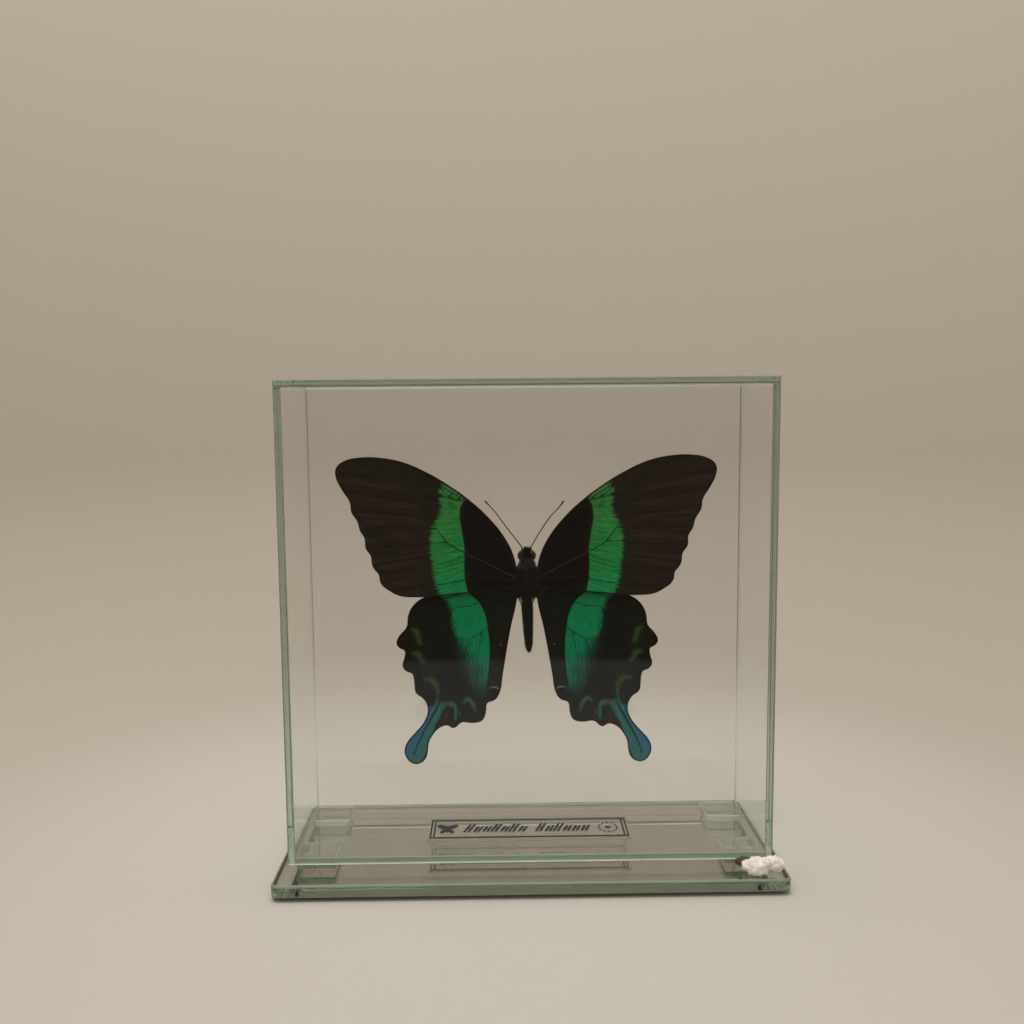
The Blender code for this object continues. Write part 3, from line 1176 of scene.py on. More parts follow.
@dataclass
class Putty:
    """A dried two-lobed lump at the foot of the front right corner."""

    voxel: float = 0.28 * MM
    lobes: tuple[tuple[Vector, Vector], ...] = (
        (Vector((69.3, -26.8, 2.1)) * MM, Vector((3.9, 3.1, 2.9)) * MM),
        (Vector((74.4, -25.8, 2.3)) * MM, Vector((3.4, 2.3, 2.6)) * MM),
        (Vector((71.5, -27.6, 3.6)) * MM, Vector((2.0, 1.9, 1.6)) * MM),
        (Vector((66.9, -26.0, 1.9)) * MM, Vector((2.3, 2.0, 1.8)) * MM),
    )

    def build(self) -> None:
        """Grow the lump from its lobes, roughen it, and press it flat against base and pane."""
        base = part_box("base_plate")[1].z
        lo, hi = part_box("putty_lump")
        bm = bmesh.new()
        for centre, radii in self.lobes:
            made = bmesh.ops.create_icosphere(bm, subdivisions=3, radius=1)
            bmesh.ops.scale(bm, vec=radii, verts=made["verts"])
            bmesh.ops.translate(bm, vec=centre + Vector((0, 0, base)), verts=made["verts"])
        mesh = bpy.data.meshes.new("putty")
        bm.to_mesh(mesh)
        bm.free()
        raw = bpy.data.objects.new("putty", mesh)
        bpy.context.scene.collection.objects.link(raw)
        remesh = raw.modifiers.new("grow_together", "REMESH")
        remesh.mode = "VOXEL"
        remesh.voxel_size = self.voxel
        ready = raw.evaluated_get(bpy.context.evaluated_depsgraph_get())
        grown = bpy.data.meshes.new_from_object(ready)
        bpy.data.objects.remove(raw)
        bm = bmesh.new()
        bm.from_mesh(grown)
        bpy.data.meshes.remove(grown)
        for _ in range(3):
            bmesh.ops.smooth_vert(bm, verts=bm.verts, factor=0.5, use_axis_x=True, use_axis_y=True, use_axis_z=True)
        bm.normal_update()
        for vert in bm.verts:
            lumps = noise.noise(vert.co / (1.5 * MM)) * 0.6 + noise.noise(vert.co / (0.6 * MM)) * 0.22
            vert.co += vert.normal * lumps * MM
        for vert in bm.verts:
            vert.co.x = min(max(vert.co.x, lo.x - 0.8 * MM), hi.x)
            vert.co.y = max(vert.co.y, lo.y)
            vert.co.z = min(vert.co.z, hi.z + 0.3 * MM)
        for point, normal in (
            (Vector((0, 0, base + 0.03 * MM)), Vector((0, 0, -1))),
            (Vector((0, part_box("front_pane")[0].y - 0.03 * MM, 0)), Vector((0, 1, 0))),
        ):
            cut = bmesh.ops.bisect_plane(
                bm, geom=list(bm.verts) + list(bm.edges) + list(bm.faces), plane_co=point,
                plane_no=normal, clear_outer=True,
            )
            edges = [e for e in cut["geom_cut"] if isinstance(e, bmesh.types.BMEdge)]
            bmesh.ops.holes_fill(bm, edges=edges, sides=0)
        bmesh.ops.triangulate(bm, faces=[f for f in bm.faces if len(f.verts) > 4])
        bmesh.ops.recalc_face_normals(bm, faces=bm.faces)
        putty = MottledFinish(
            "dried_putty", dark="e6dad0", light="f8f1ea", roughness=(0.75, 0.95), mottle=1.6,
            grain=0.35, relief=0.5,
        ).build()
        place_piece("putty", bm, (putty,), ["putty_lump"], 60)
        self.build_dab(base)

    def build_dab(self, base: float) -> None:
        """Smear the dark dab of old glue up the front pane, beside the putty.

        Args:
            base: The height of the base's top.
        """
        bm = bmesh.new()
        bmesh.ops.create_icosphere(bm, subdivisions=4, radius=1)
        bmesh.ops.scale(bm, vec=Vector((2.9, 0.8, 1.6)) * MM, verts=bm.verts)
        middle = Vector((66.2 * MM, -23.4 * MM, base + 2.2 * MM))
        bmesh.ops.translate(bm, vec=middle, verts=bm.verts)
        bm.normal_update()
        for vert in bm.verts:
            vert.co += vert.normal * noise.noise(vert.co / (1.1 * MM)) * 0.4 * MM
            vert.co.y = min(vert.co.y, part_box("front_pane")[0].y - 0.03 * MM)
        glue = MottledFinish(
            "old_brown_glue", dark="483c36", light="6b5d55", roughness=(0.5, 0.8), mottle=1.2, grain=0.3,
        ).build()
        place_piece("glue_dab", bm, (glue,), ["putty_lump"], 60)


# ---------------------------------------------------------------- butterfly


@dataclass(frozen=True)
class Vein:
    """One vein: its route in millimetres from the wing root, and its radius at each end."""

    route: tuple[Point, ...]
    thick: float = 0.16
    thin: float = 0.07
    rubbed: bool = False  # its scales are worn off, so that the pale vein shows


@dataclass(frozen=True)
class Stroke:
    """One brush stroke of a marking, with its half widths spread evenly along it, in millimetres."""

    route: tuple[Point, ...]
    widths: tuple[float, ...]

    def reach(self, flat: np.ndarray) -> np.ndarray:
        """How far outside the stroke each point lies, negative inside it."""
        distance, share, _ = nearest(flat, smooth_route(self.route))
        return distance - np.interp(share, np.linspace(0, 1, len(self.widths)), self.widths)


@dataclass(frozen=True)
class WingPlan:
    """What the left and the right wing of a pair share, in millimetres from the wing root."""

    kind: str
    forward: float  # how far in front of the wing plane it lies
    ray_pole: Point  # where the streaks of its scales fan out from
    band_inner: tuple[Point, ...]
    band_outer: tuple[Point, ...]
    feathers: tuple[float, ...]  # over how many millimetres the outer edge fades, along its route
    veins: tuple[Vein, ...]
    markings: dict[str, tuple[Stroke, ...]]
    camber: float  # how far the middle of the wing bows


FOREWING = WingPlan(
    kind="forewing",
    forward=0.6,
    ray_pole=(-18, 21),
    band_inner=(
        (17.5, 36), (19.6, 31.5), (20.9, 29.9), (21.5, 26.2), (21, 22.4), (20.4, 18.4), (20, 14.9),
        (20.2, 10.3), (20.1, 6.3), (19.6, 3.5), (19.2, 1.4), (18.9, -2),
    ),
    band_outer=(
        (26.2, 41), (27.2, 36.6), (27.9, 33.1), (27.4, 28.6), (28.6, 25.2), (30.3, 22), (30.7, 18.5),
        (30.9, 14.5), (30.4, 11.2), (30.1, 7.7), (29.1, 3.6), (28.3, 1.2), (28, -2),
    ),
    feathers=(1.2, 1.3, 1.5, 1.4, 1.3, 1.5),
    camber=0.5,
    veins=(
        Vein(
            ((3.5, 7.3), (4.5, 12.9), (7.3, 18.8), (12.2, 25.2), (18.2, 30.9), (25.1, 36.1),
             (32.1, 40.3), (39.1, 43.4), (46, 44.9), (52.4, 45.1), (57, 44.2)), 0.3, 0.1,
        ),
        Vein(((3.6, 7), (5, 12.6), (8.3, 18.6), (13.2, 25), (20.6, 31.6), (26.7, 35.6), (34, 40.9)), 0.22, 0.08),
        Vein(
            ((3.6, 6.6), (5.8, 12.4), (9.4, 18.5), (14.2, 24.6), (19.9, 30.5), (24.3, 32),
             (27.8, 32.9), (31, 33.6)), 0.24, 0.12,
        ),
        Vein(((22.5, 31.4), (31, 37.4), (42.5, 43.9)), 0.12, 0.06),
        Vein(((26, 32.5), (37, 39.3), (49, 44.6)), 0.12, 0.06),
        Vein(((31, 33.6), (42, 39.5), (50, 42.6), (57.3, 44)), 0.13, 0.06),
        Vein(((31, 33.6), (45, 38.5), (60, 41)), 0.13, 0.06),
        Vein(((30.9, 31), (44, 34), (58.5, 36)), 0.12, 0.06),
        Vein(((30.4, 26.5), (43, 28.6), (55.6, 29.6)), 0.12, 0.06),
        Vein(((28.9, 22.5), (42, 23.4), (53.1, 22.6)), 0.12, 0.06),
        Vein(((25.5, 17.9), (38, 17.6), (51.3, 16.5)), 0.12, 0.06),
        Vein(((18.5, 13.8), (21.8, 12.8), (30.1, 10.7), (40, 9.3), (48.9, 8.9)), 0.13, 0.06),
        Vein(((3.5, 6), (6, 7.2), (9.5, 9), (13, 10.9), (19.4, 14.1)), 0.17, 0.12, rubbed=True),
        Vein(((19.4, 14.1), (22.5, 15.9), (25.5, 17.9), (28.9, 22.5)), 0.18, 0.14),
        Vein(((28.9, 22.5), (30.3, 25.5), (30.7, 29), (31, 33.6)), 0.1, 0.1),
        Vein(((3.6, 4.9), (9, 5.9), (14, 6.1), (20.5, 5.5), (29.4, 4.2), (38, 3.7), (46.4, 4.2)), 0.2, 0.07),
    ),
    markings={
        "mint": (Stroke(((26.4, 37), (23.3, 34.7), (20.2, 32.2)), (0.15, 0.42, 0.2)),),
        "smudge": (
            Stroke(((24.6, 29.6), (23.6, 29.4), (22.6, 28.8)), (0.35, 0.4, 0.1)),
            Stroke(((24.9, 31), (23.9, 30.6)), (0.15, 0.15)),
        ),
    },
)

HINDWING = WingPlan(
    kind="hindwing",
    forward=-0.6,
    ray_pole=(12, 4),
    band_inner=(
        (22, 5), (19, 1.1), (15.5, -2.3), (13.6, -6.5), (12.9, -10.6), (12.4, -14.8), (12.3, -19),
        (12.6, -23.5), (12.9, -26.6), (13.4, -29.7), (14.2, -33), (15, -38),
    ),
    band_outer=(
        (31, 5), (28.5, 1.1), (26.5, -0.7), (25, -3.3), (24.3, -7.5), (23.6, -12), (21.6, -15.5),
        (20, -18.3), (18.6, -21.4), (17.2, -24.8), (15.6, -28.6), (14.3, -33), (14, -38),
    ),
    feathers=(1.5, 1.6, 1.8, 2.2, 5, 7, 6),
    camber=-0.4,
    veins=(
        Vein(((3.7, 0.3), (12, 1.2), (22, 0.6), (32, -3), (38.3, -8)), 0.2, 0.07),
        Vein(
            ((3.7, 0), (9, -0.9), (15.5, -2.3), (19.1, -3.4), (23.5, -3.9), (27, -6.2), (34, -11),
             (41.6, -15)), 0.18, 0.06,
        ),
        Vein(((24.3, -4.4), (25, -8.4), (24, -12), (22.7, -13.9), (19.1, -14.3)), 0.09, 0.09),
        Vein(((24.9, -8.6), (32, -14), (40, -21)), 0.1, 0.06),
        Vein(((24, -12), (30.6, -18.6), (37.4, -26.4)), 0.1, 0.06),
        Vein(
            ((22.7, -13.9), (25.2, -22), (27, -29.5), (28.2, -34.1), (30.5, -37.9), (34, -44.4),
             (36.3, -49), (37.8, -52.1)), 0.12, 0.12,
        ),
        Vein(((19.1, -14.3), (21, -23), (22.2, -32), (24.1, -43.2)), 0.1, 0.06),
        Vein(((14.5, -11.8), (16.5, -22), (17.2, -32), (16.9, -41.4)), 0.1, 0.06),
        Vein(((3.8, -1), (8, -5), (13.2, -10.6), (15.4, -12.3), (19.1, -14.3)), 0.2, 0.1),
        Vein(((3.8, -1.8), (6.5, -10), (9.2, -20), (11, -29), (12.6, -35)), 0.16, 0.06),
    ),
    markings={
        "tail": (
            Stroke(
                ((28.4, -34.6), (30.2, -37.9), (34, -44.4), (36.3, -49), (37.8, -52.6)),
                (0.5, 1.5, 2.6, 3.6, 3.4),
            ),
        ),
        "tail_outer": (
            Stroke(((31.6, -37.2), (35, -43.6), (37.8, -48.4), (39.2, -51.6)), (0.8, 1.2, 1.6, 1.2)),
        ),
        "tail_line": (
            Stroke(
                ((28, -33.6), (30.5, -38.1), (34, -44.4), (36.3, -49), (37.6, -52.9)),
                (0.34, 0.46, 0.44, 0.38, 0.3),
            ),
        ),
        "tail_light": (Stroke(((29.6, -34.2), (30.5, -36), (31.7, -38.4)), (0.1, 0.25, 0.2)),),
        "olive": (
            Stroke(((37.2, -10.6), (35.9, -11.5), (35.5, -13.6), (34.9, -15.3)), (0.5, 0.9, 0.7, 0.6)),
            Stroke(((37, -18.4), (35.6, -18.8), (34.9, -20.2), (33.9, -21.8)), (0.5, 1.0, 0.8, 0.6)),
            Stroke(((33.6, -27.3), (31.6, -27.4), (30.1, -29.1), (29.3, -31.3)), (0.5, 0.9, 0.9, 0.5)),
        ),
        "leaf": (Stroke(((27.6, -35.9), (26.2, -35.5), (24.9, -36.1)), (0.6, 0.85, 0.8)),),
        "teal": (
            Stroke(((29.3, -31.3), (29.6, -33.6), (30.2, -35.6)), (0.3, 0.25, 0.3)),
            Stroke(((27.4, -36), (28.9, -38.2), (30.4, -41)), (0.5, 0.8, 0.9)),
            Stroke(((24.6, -35.4), (23.6, -37.4), (23.9, -41.4)), (0.5, 0.62, 0.3)),
        ),
        "grey": (
            Stroke(((21.2, -35.4), (19.8, -34.3), (18, -35.9), (17, -38.8)), (0.35, 0.75, 0.6, 0.3)),
        ),
        "pale": (
            Stroke(
                ((13.2, -31.7), (12.5, -30.8), (11.3, -30.5), (10.1, -30.6), (9.4, -31.5)),
                (0.14, 0.26, 0.28, 0.26, 0.12),
            ),
            Stroke(((22.9, -40.9), (22.3, -39.2), (21.6, -37.5)), (0.14, 0.2, 0.12)),
            Stroke(((8.7, -16), (8.7, -16.4)), (0.28, 0.28)),
        ),
        "eye_spot": (Stroke(((11.4, -32.2), (11.4, -33.1)), (1.3, 1.3)),),
        "red": (Stroke(((26.9, -39.2), (26.9, -39.9)), (0.75, 0.6)),),
        "veil": (Stroke(((21.5, -17), (18.5, -24), (15.5, -31)), (1.6, 2.6, 2.2)),),
    },
)

VENTRAL_PAINTS = {
    "forewing": (),
    "hindwing": (
        Paint("olive", "8a5a2c", 0.35, 0.85),
        Paint("teal", "6b6f9a", 0.35, 0.8),
        Paint("grey", "8a5a2c", 0.35, 0.85),
        Paint("pale", "7d86a8", 0.25, 0.9),
        Paint("eye_spot", "0b0908", 0.3, 1.0),
        Paint("tail", "1f1b18", 0.4, 0.6),
    ),
}


@dataclass
class Wing:
    """One wing: a thin cambered membrane under scales, with raised veins on both faces."""

    plan: WingPlan
    side: Side
    root: Vector
    dihedral: float = math.radians(3)
    thickness: float = 0.14  # mm
    cell: float = 0.75  # mm between the cuts that let the membrane bend

    def placement(self) -> Matrix:
        """Lay the wing's own plane in the frame: out along the wing, up, and towards the front.

        Returns:
            The matrix from wing millimetres to metres in the frame.
        """
        lean = self.dihedral
        out = Vector((self.side.value * math.cos(lean), -math.sin(lean), 0))
        front = Vector((-self.side.value * math.sin(lean), -math.cos(lean), 0))
        axes = Matrix((out, Vector((0, 0, 1)), front)).transposed().to_4x4()
        start = self.root - Vector((0, self.plan.forward * MM, 0))
        return Matrix.Translation(start) @ axes @ Matrix.Scale(MM, 4)

    def outline(self) -> np.ndarray:
        """Read the wing's outline off the front face of its CAD node, and smooth it.

        Returns:
            The outline's points in wing millimetres, in order.
        """
        bm = bmesh.new()
        bm.from_mesh(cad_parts[f"{self.plan.kind}_{self.side.word}"].data)
        bmesh.ops.remove_doubles(bm, verts=bm.verts, dist=MERGE)
        front = {f for f in bm.faces if f.normal.y < -0.9}
        rim = {e for e in bm.edges if len(front.intersection(e.link_faces)) == 1}
        home = self.placement().inverted()
        first = here = next(iter(rim)).verts[0]
        edge = next(e for e in here.link_edges if e in rim)
        loop = []
        while True:
            loop.append((home @ here.co).to_2d())
            here = edge.other_vert(here)
            edge = next(e for e in here.link_edges if e in rim and e is not edge)
            if here is first:
                break
        bm.free()
        return smooth_route(loop, 3, closed=True)

    def membrane(self, outline: np.ndarray) -> BMesh:
        """Cut the outline's face into small cells and give it its thickness.

        Args:
            outline: The outline's points in wing millimetres.

        Returns:
            The flat closed membrane, in wing millimetres. Faces 0 face the front, 1 the back, 2 the rim.
        """
        bm = bmesh.new()
        bm.faces.new([bm.verts.new((*p, 0)) for p in outline])
        bmesh.ops.recalc_face_normals(bm, faces=bm.faces)
        lo, hi = outline.min(0), outline.max(0)
        for axis in (0, 1):
            normal = Vector((1, 0, 0)) if axis == 0 else Vector((0, 1, 0))
            for at in np.arange(lo[axis] + self.cell * 0.61, hi[axis], self.cell):
                crossed = [
                    f for f in bm.faces
                    if min(v.co[axis] for v in f.verts) < at < max(v.co[axis] for v in f.verts)
                ]
                geom = set(crossed)
                for face in crossed:
                    geom.update(face.verts)
                    geom.update(face.edges)
                bmesh.ops.bisect_plane(
                    bm, geom=list(geom), dist=1e-5, plane_co=normal * at, plane_no=normal,
                )
        bmesh.ops.remove_doubles(bm, verts=bm.verts, dist=0.01)
        bmesh.ops.triangulate(bm, faces=[f for f in bm.faces if len(f.verts) > 4])
        for face in bm.faces:
            if face.normal.z < 0:
                face.normal_flip()
        bmesh.ops.solidify(bm, geom=bm.faces, thickness=self.thickness)
        middle = sum(v.co.z for v in bm.verts) / len(bm.verts)
        bmesh.ops.translate(bm, vec=(0, 0, -middle), verts=bm.verts)
        bm.normal_update()
        for face in bm.faces:
            face.material_index = 0 if face.normal.z > 0.5 else 1 if face.normal.z < -0.5 else 2
        return bm

    def vein_tubes(self, rubbed: bool) -> Mesh:
        """Tapered tubes along the veins that are rubbed pale, or along the others, in wing millimetres."""
        routes = []
        for vein in (v for v in self.plan.veins if v.rubbed == rubbed):
            line = smooth_route(vein.route, 5)
            radii = np.linspace(vein.thick, vein.thin, len(line))
            routes.append([((*p, 0), r) for p, r in zip(line, radii)])
        return tubes(routes, 1)

    def vein_reach(self, flat: np.ndarray) -> np.ndarray:
        """How far each point lies from the nearest vein's edge, in millimetres."""
        reach = np.full(len(flat), np.inf)
        for vein in self.plan.veins:
            distance, share, _ = nearest(flat, smooth_route(vein.route))
            reach = np.minimum(reach, distance - (vein.thick + (vein.thin - vein.thick) * share))
        return reach

    def rays(self, flat: np.ndarray) -> np.ndarray:
        """Position along and across the fan of scale rows, in millimetres.

        Args:
            flat: Points in wing millimetres.

        Returns:
            One row a point: along, across, and a zero.
        """
        off = flat - np.array(self.plan.ray_pole)
        along = np.hypot(off[:, 0], off[:, 1])
        across = np.arctan2(off[:, 1], off[:, 0]) * 35
        return np.column_stack((along, across, np.zeros(len(flat))))

    def fields(self, flat: np.ndarray, outline: np.ndarray) -> dict[str, np.ndarray]:
        """Work out every distance that the scales' pattern reads.

        Args:
            flat: The mesh's points in wing millimetres.
            outline: The wing's outline.

        Returns:
            The values by attribute name.
        """
        inner, _, inner_side = nearest(flat, smooth_route(self.plan.band_inner))
        outer, share, outer_side = nearest(flat, smooth_route(self.plan.band_outer))
        feather = np.interp(
            share, np.linspace(0, 1, len(self.plan.feathers)), self.plan.feathers,
        )
        found = {
            "band_inner": inner * inner_side,
            "band_outer": -outer * outer_side / feather,
            "vein": self.vein_reach(flat),
            "rim": nearest(flat, np.vstack((outline, outline[:1])))[0],
        }
        for name, strokes in self.plan.markings.items():
            found[name] = np.min([stroke.reach(flat) for stroke in strokes], axis=0)
        return found

    def lift(self, flat: np.ndarray, vein: np.ndarray) -> np.ndarray:
        """How far the membrane stands off its plane: a bow, ridges at the veins, and dried ripples.

        Args:
            flat: The mesh's points in wing millimetres.
            vein: Their distances from the nearest vein.

        Returns:
            The heights in millimetres.
        """
        span = flat[:, 0] / flat[:, 0].max()
        bow = self.plan.camber * np.sin(np.pi * np.clip(span, 0, 1))
        ridge = 0.16 * np.exp(-(np.clip(vein, 0, None) / 0.9) ** 2)
        side = self.side.value
        ripple = np.array([noise.noise(Vector((u * side / 9, v / 5, 3.1))) for u, v in flat]) * 0.22
        return bow + ridge + ripple * np.clip(span * 3, 0, 1)

    def build(self, scales: Sequence[Material]) -> Object:
        """Build the wing and store its pattern's distances on it.

        Args:
            scales: The materials of the upper side, the underside, and the rim and veins.

        Returns:
            The piece.
        """
        outline = self.outline()
        bm = self.membrane(outline)
        take_in(bm, self.vein_tubes(rubbed=False), 2)
        take_in(bm, self.vein_tubes(rubbed=True), 3)
        flat = np.array([tuple(v.co.xy) for v in bm.verts])
        found = self.fields(flat, outline)
        for vert, height in zip(bm.verts, self.lift(flat, found["vein"])):
            vert.co.z += height
        bmesh.ops.transform(bm, matrix=self.placement(), verts=bm.verts)
        if self.side is Side.LEFT:
            bmesh.ops.reverse_faces(bm, faces=bm.faces)
        node = f"{self.plan.kind}_{self.side.word}"
        piece = place_piece(f"{node}_scaled", bm, scales, [node], 55)
        for name, values in found.items():
            store = piece.data.attributes.new(name, "FLOAT", "POINT")
            store.data.foreach_set("value", values.astype(np.float32))
        store = piece.data.attributes.new("rays", "FLOAT_VECTOR", "POINT")
        store.data.foreach_set("vector", self.rays(flat).astype(np.float32).ravel())
        return piece


@dataclass
class Insect:
    """The butterfly's head, thorax, abdomen, hair, eyes, legs, antennae and its clear post."""

    root: Vector
    lean: float = math.radians(1.8)  # the abdomen hangs a little to the right
    profile: tuple[Point, ...] = (
        (0.05, 15.3), (0.9, 15.1), (1.4, 14.5), (1.6, 13.4), (1.6, 12.2), (1.9, 11.2), (2.3, 10),
        (2.55, 8.5), (2.65, 6), (2.6, 3.5), (2.3, 1), (1.9, -0.6), (1.6, -1.6), (1.8, -3), (1.8, -5),
        (1.65, -9), (1.45, -13), (1.15, -16.4), (0.65, -18.3), (0.05, -19),
    )
    rings: int = 8  # segments of the abdomen
    antenna_routes: dict[Side, tuple[Point, ...]] = field(
        default_factory=lambda: {
            Side.LEFT: ((1.2, 14.9), (1.8, 16.2), (4.2, 19.4), (6.6, 22.6), (9.8, 27.1), (12, 29.6), (13.3, 31)),
            Side.RIGHT: ((0.9, 14.9), (1.6, 16.2), (3.6, 19.7), (6.8, 24.6), (8.8, 27), (10.6, 28.9), (12, 30.8)),
        }
    )

    def trunk(self) -> BMesh:
        """Turn the body from its profile, with grooves between the abdomen's segments.

        Returns:
            The body, in millimetres from the wing root.
        """
        bm = bmesh.new()
        waist, tip = -1.6, -18.4
        line = []
        for radius, height in smooth_route(self.profile, 8):
            share = (waist - height) / (waist - tip)
            if 0 < share < 1:
                groove = abs(math.sin(math.pi * share * self.rings)) ** 0.5
                radius *= 0.93 + 0.07 * groove
            line.append(bm.verts.new((radius, 0, height)))
        for upper, lower in zip(line, line[1:]):
            bm.edges.new((upper, lower))
        bmesh.ops.spin(
            bm, geom=list(bm.verts) + list(bm.edges), cent=(0, 0, 0), axis=(0, 0, 1),
            angle=math.tau, steps=40, use_merge=True,
        )
        bmesh.ops.holes_fill(bm, edges=[e for e in bm.edges if e.is_boundary], sides=0)
        bmesh.ops.recalc_face_normals(bm, faces=bm.faces)
        for vert in bm.verts:
            x, y, z = vert.co
            chest = math.exp(-((z - 5.5) / 4.5) ** 2)
            vert.co.x = x * (1 + 0.12 * chest)
            vert.co.y = y * (1 + 0.1 * chest) * (0.9 if z > 11.5 else 1.0)
            furrow = math.exp(-(x / 0.35) ** 2) * chest if y < 0 else 0
            vert.co.y += 0.12 * furrow
            if z < -1:
                vert.co.x += (-1 - z) * math.tan(self.lean)
        for side in Side:  # the tufts that cover the wing bases
            for u, v, reach, height in ((3.2, 1.9, 2.7, 2.7), (2.7, 6.1, 1.5, 3.4)):
                placed = Matrix.Translation((side.value * u, -0.1, v)) @ Matrix.Diagonal((reach, 1.3, height, 1))
                bmesh.ops.create_uvsphere(bm, u_segments=28, v_segments=16, radius=1, matrix=placed)
        bm.normal_update()
        return bm

    def eyes(self) -> BMesh:
        """Two compound eyes, one at each side of the head."""
        bm = bmesh.new()
        for side in Side:
            placed = (
                Matrix.Translation((side.value * 1.8, -0.3, 13.2))
                @ Matrix.Rotation(side.value * -0.25, 4, "Y")
                @ Matrix.Diagonal((1.2, 1.25, 1.6, 1))
            )
            bmesh.ops.create_uvsphere(bm, u_segments=32, v_segments=20, radius=1, matrix=placed)
        return bm

    def hair(
        self, skin: BMesh, count: int, length: float, lean: Vector, where: Callable[[Vector], bool],
        thick: float, draw: random.Random,
    ) -> Mesh:
        """Grow short bent hairs on part of the body.

        Args:
            skin: The body, in millimetres.
            count: How many hairs.
            length: Their mean length in millimetres.
            lean: What bends them over, added to the skin's normal.
            where: Says of a point on the skin whether hair grows there.
            thick: Their radius at the root in millimetres.
            draw: The source of chance.

        Returns:
            All the hairs as one mesh.
        """
        faces = [f for f in skin.faces if where(f.calc_center_median())]
        areas = [f.calc_area() for f in faces]
        routes = []
        for face in draw.choices(faces, areas, k=count):
            weights = [draw.random() for _ in face.verts]
            spot = sum((v.co * w for v, w in zip(face.verts, weights)), Vector()) / sum(weights)
            scatter = Vector((draw.gauss(0, 1), draw.gauss(0, 1), draw.gauss(0, 1))) * 0.22
            way = (face.normal + lean + scatter).normalized()
            bend = (way + lean * 0.8).normalized()
            long = length * draw.uniform(0.6, 1.3)
            middle = spot + way * long * 0.5
            routes.append(
                ((spot - face.normal * 0.05, thick), (middle, thick * 0.75), (middle + bend * long * 0.5, thick * 0.15))
            )
        return tubes(routes, 0)

    def antenna(self, side: Side) -> Mesh:
        """One ringed feeler that thickens into a club at its tip."""
        line = smooth_route([(side.value * u, 0.0, v) for u, v in self.antenna_routes[side]], 14)
        count = len(line)
        route = []
        for index, (x, _, z) in enumerate(line):
            share = index / (count - 1)
            club = 0.17 * max(0.0, (share - 0.8) / 0.2) ** 0.8
            radius = 0.2 - 0.04 * share + club + (0.018 if index % 2 else -0.012)
            arch = -0.9 * math.sin(math.pi * min(share, 1) * 0.5)
            route.append(((x, arch - 0.4, z), radius * (0.45 if index == count - 1 else 1)))
        return tubes([route], 2)

    def legs(self) -> Mesh:
        """Six legs folded against the breast, as a dried specimen keeps them."""
        routes = []
        for side in Side:
            for pair, top in enumerate((8.6, 5.6, 2.6)):
                s = side.value
                knee = Vector((s * (2.2 + 0.3 * pair), 4.6, top - 3.2))
                points = (
                    (s * 1.0, 2.1, top), (s * 1.9, 3.3, top - 0.9), tuple(knee),
                    (s * (1.2 + 0.3 * pair), 4.3, top - 6.4), (s * 0.8, 3.6, top - 9.4 + pair),
                    (s * 0.7, 3.2, top - 11.2 + 2 * pair),
                )
                line = smooth_route(points, 5)
                radii = np.interp(np.linspace(0, 1, len(line)), (0, 0.25, 0.5, 0.75, 1), (0.3, 0.3, 0.2, 0.13, 0.07))
                routes.append([(tuple(p), r) for p, r in zip(line, radii)])
        return tubes(routes, 2)

    def settle(self, bm: BMesh) -> BMesh:
        """Take a mesh from millimetres at the wing root to metres in the frame."""
        bmesh.ops.remove_doubles(bm, verts=bm.verts, dist=0.0005)
        placed = Matrix.Translation(self.root) @ Matrix.Scale(MM, 4)
        bmesh.ops.transform(bm, matrix=placed, verts=bm.verts)
        return bm

    def build(self) -> None:
        """Build the body and all that grows on it, then the post that holds it."""
        draw = random.Random(SEED)
        scales = MottledFinish(
            "body_scales", dark="0b0908", light="16120f", roughness=(0.6, 0.85), mottle=0.8,
            grain=0.18, relief=0.5, specular=0.1,
        ).build()
        dark_hair = MottledFinish(
            "dark_hair", dark="0b0908", light="1a1613", roughness=(0.5, 0.7), mottle=0.6, relief=0.0,
            specular=0.12,
        ).build()
        collar_hair = MottledFinish(
            "grey_green_collar_hair", dark="1f201a", light="3a3b30", roughness=(0.5, 0.7),
            mottle=0.5, relief=0.0, specular=0.12,
        ).build()
        eye = MottledFinish(
            "compound_eye", dark="0e0b09", light="1f1913", roughness=(0.2, 0.35), mottle=0.5,
            grain=0.12, relief=0.2, specular=0.3,
        ).build()
        chitin = MottledFinish(
            "black_chitin", dark="120e0b", light="261e18", roughness=(0.35, 0.55), mottle=0.5,
            grain=0.1, relief=0.15,
        ).build()

        skin = self.trunk()
        fur = bmesh.new()
        take_in(fur, self.hair(skin, 2600, 1.0, Vector((0, 0, -0.7)), lambda p: -1.5 < p.z < 10.5, 0.045, draw), 0)
        take_in(fur, self.hair(skin, 1500, 0.55, Vector((0, 0, -1.6)), lambda p: p.z < -1.5, 0.04, draw), 0)
        take_in(fur, self.hair(skin, 700, 0.8, Vector((0, -0.3, 0.5)), lambda p: p.z > 12.8 and abs(p.x) < 1.5, 0.04, draw), 0)
        take_in(fur, self.hair(skin, 900, 0.9, Vector((0, 0, -0.6)), lambda p: 9.2 < p.z < 12.8, 0.045, draw), 1)
        place_piece("body_trunk", self.settle(skin), (scales,), ["butterfly_body"])
        place_piece("body_hair", self.settle(fur), (dark_hair, collar_hair), ["butterfly_body"])
        place_piece("eyes", self.settle(self.eyes()), (eye,), ["butterfly_body"])
        feet = bmesh.new()
        take_in(feet, self.legs())
        place_piece("folded_legs", self.settle(feet), (chitin,), ["butterfly_body"])
        for side in Side:
            feeler = bmesh.new()
            take_in(feeler, self.antenna(side))
            node = f"antenna_{side.word}"
            place_piece(f"{node}_ringed", self.settle(feeler), (chitin,), [node])
        self.build_post()

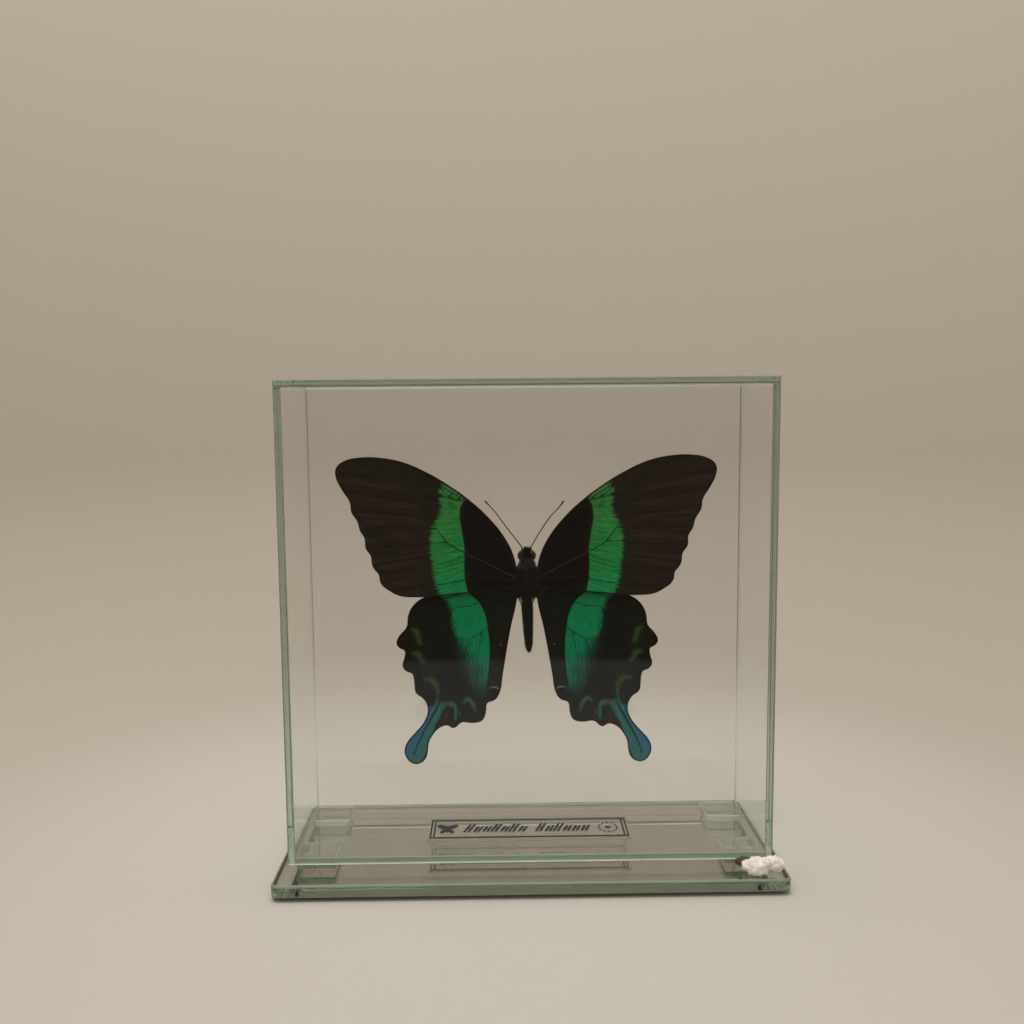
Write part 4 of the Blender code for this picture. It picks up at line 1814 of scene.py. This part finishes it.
    def build_post(self) -> None:
        """The clear rod from the back pane to the thorax, its ends polished."""
        lo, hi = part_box("mounting_post")
        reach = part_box("back_pane")[0].y - 0.03 * MM
        radius = (hi.x - lo.x) / 2
        start = Vector(((lo.x + hi.x) / 2, lo.y - 0.6 * MM, (lo.z + hi.z) / 2))
        bm = bmesh.new()
        bmesh.ops.create_cone(
            bm, cap_ends=True, segments=40, radius1=radius, radius2=radius, depth=reach - start.y,
        )
        placed = Matrix.Translation(start + Vector((0, (reach - start.y) / 2, 0))) @ Matrix.Rotation(
            math.pi / 2, 4, "X"
        )
        bmesh.ops.transform(bm, matrix=placed, verts=bm.verts)
        rims = [e for e in bm.edges if e.calc_face_angle(0) > math.radians(40)]
        bmesh.ops.bevel(
            bm, geom=rims, offset=0.15 * MM, offset_type="OFFSET", segments=2, profile=0.5,
            affect="EDGES", material=-1,
        )
        acrylic = ClearFinish("cast_acrylic", ior=1.49, tint="e6ece6", density=4, haze=0.05, haze_size=3).build()
        place_piece("acrylic_post", bm, (acrylic,), ["mounting_post"])


@dataclass
class Butterfly:
    """The spread specimen: its four wings and its body."""

    head_height: float = 15.8 * MM  # from the wing roots to the top of the head
    wing_plane: float = 1.5 * MM  # how far behind the middle of the case it hangs

    def root(self) -> Vector:
        """Where the wings meet the body."""
        lo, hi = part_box("butterfly_body")
        return Vector((0, self.wing_plane, hi.z - self.head_height))

    def upper_scales(self, plan: WingPlan, root: Vector) -> Material:
        """The bright side of a wing.

        Args:
            plan: The wing's plan.
            root: Where the wings meet the body.

        Returns:
            Its material.
        """
        if plan is FOREWING:
            return WingScales(
                "forewing_scales_upper", dark="1d1612", light="261d16", ray_light="2b211a",
                dust="33361f", dust_share=0.35, basal=0.3, root_height=root.z,
                band=BandPaint(("12824f", "1f7a3c", "28783a", "2f7436", "367038"), (0, 38)),
                paints=(
                    Paint("mint", "7f9d82", 0.2, 0.8), Paint("smudge", "0d2414", 0.3, 0.85),
                ),
            ).build()
        return WingScales(
            "hindwing_scales_upper", dark="0a0807", light="12100d", ray_light="16120e",
            dust="24381f", dust_share=0.45, basal=1.4, root_height=root.z,
            band=BandPaint(
                ("0e5f5a", "066a50", "04764f", "067b4a", "147c49"), (-34, 2), foot=(-32.4, -29.4),
            ),
            paints=(
                Paint("veil", "13503f", 2.0, 0.35), Paint("olive", "36502a", 0.8, 0.65),
                Paint("leaf", "2c5a30", 0.6, 0.75), Paint("grey", "3c604a", 0.6, 0.7),
                Paint("tail", "146562", 0.3, 0.95), Paint("tail_outer", "0d5d84", 0.8, 0.8),
                Paint("teal", "2a6760", 0.5, 0.7), Paint("tail_light", "5b8a98", 0.2, 0.6),
                Paint("eye_spot", "080706", 0.4, 0.9), Paint("pale", "67808c", 0.2, 0.7),
                Paint("red", "3d1a1a", 0.5, 0.7), Paint("tail_line", "060708", 0.12, 1.0),
            ),
        ).build()

    def under_scales(self, plan: WingPlan, root: Vector) -> Material:
        """The dull underside of a wing.

        Args:
            plan: The wing's plan.
            root: Where the wings meet the body.

        Returns:
            Its material.
        """
        return WingScales(
            f"{plan.kind}_scales_under", dark="1d1712", light="332a20", ray_light="51483a",
            dust="5a5242", dust_share=0.5, vein="15110d", root_height=root.z,
            paints=VENTRAL_PAINTS[plan.kind],
        ).build()

    def build(self) -> None:
        """Build the wings behind the body line first, then the body."""
        root = self.root()
        rim = MottledFinish(
            "vein_and_fringe_chitin", dark="0f0c0a", light="1b1511", roughness=(0.5, 0.75),
            mottle=0.6, grain=0.12, relief=0.2, specular=0.08,
        ).build()
        pale = MottledFinish(
            "rubbed_vein_chitin", dark="221b14", light="40352a", roughness=(0.5, 0.7), mottle=1.5,
            grain=0.12, relief=0.2, specular=0.1,
        ).build()
        for plan in (HINDWING, FOREWING):
            finishes = (self.upper_scales(plan, root), self.under_scales(plan, root), rim, pale)
            for side in Side:
                Wing(plan, side, root).build(finishes)
        Insect(root).build()


# ---------------------------------------------------------------- the whole object


def main() -> None:
    """Build every sub-assembly in order."""
    logging.basicConfig(level=logging.INFO, format="%(name)s %(message)s")
    for part in (Studio(), MirrorBase(), GlassCase(), Label(), Putty(), Butterfly()):
        part.build()
        log.info("%s done", type(part).__name__)


if __name__ == "__main__":
    main()
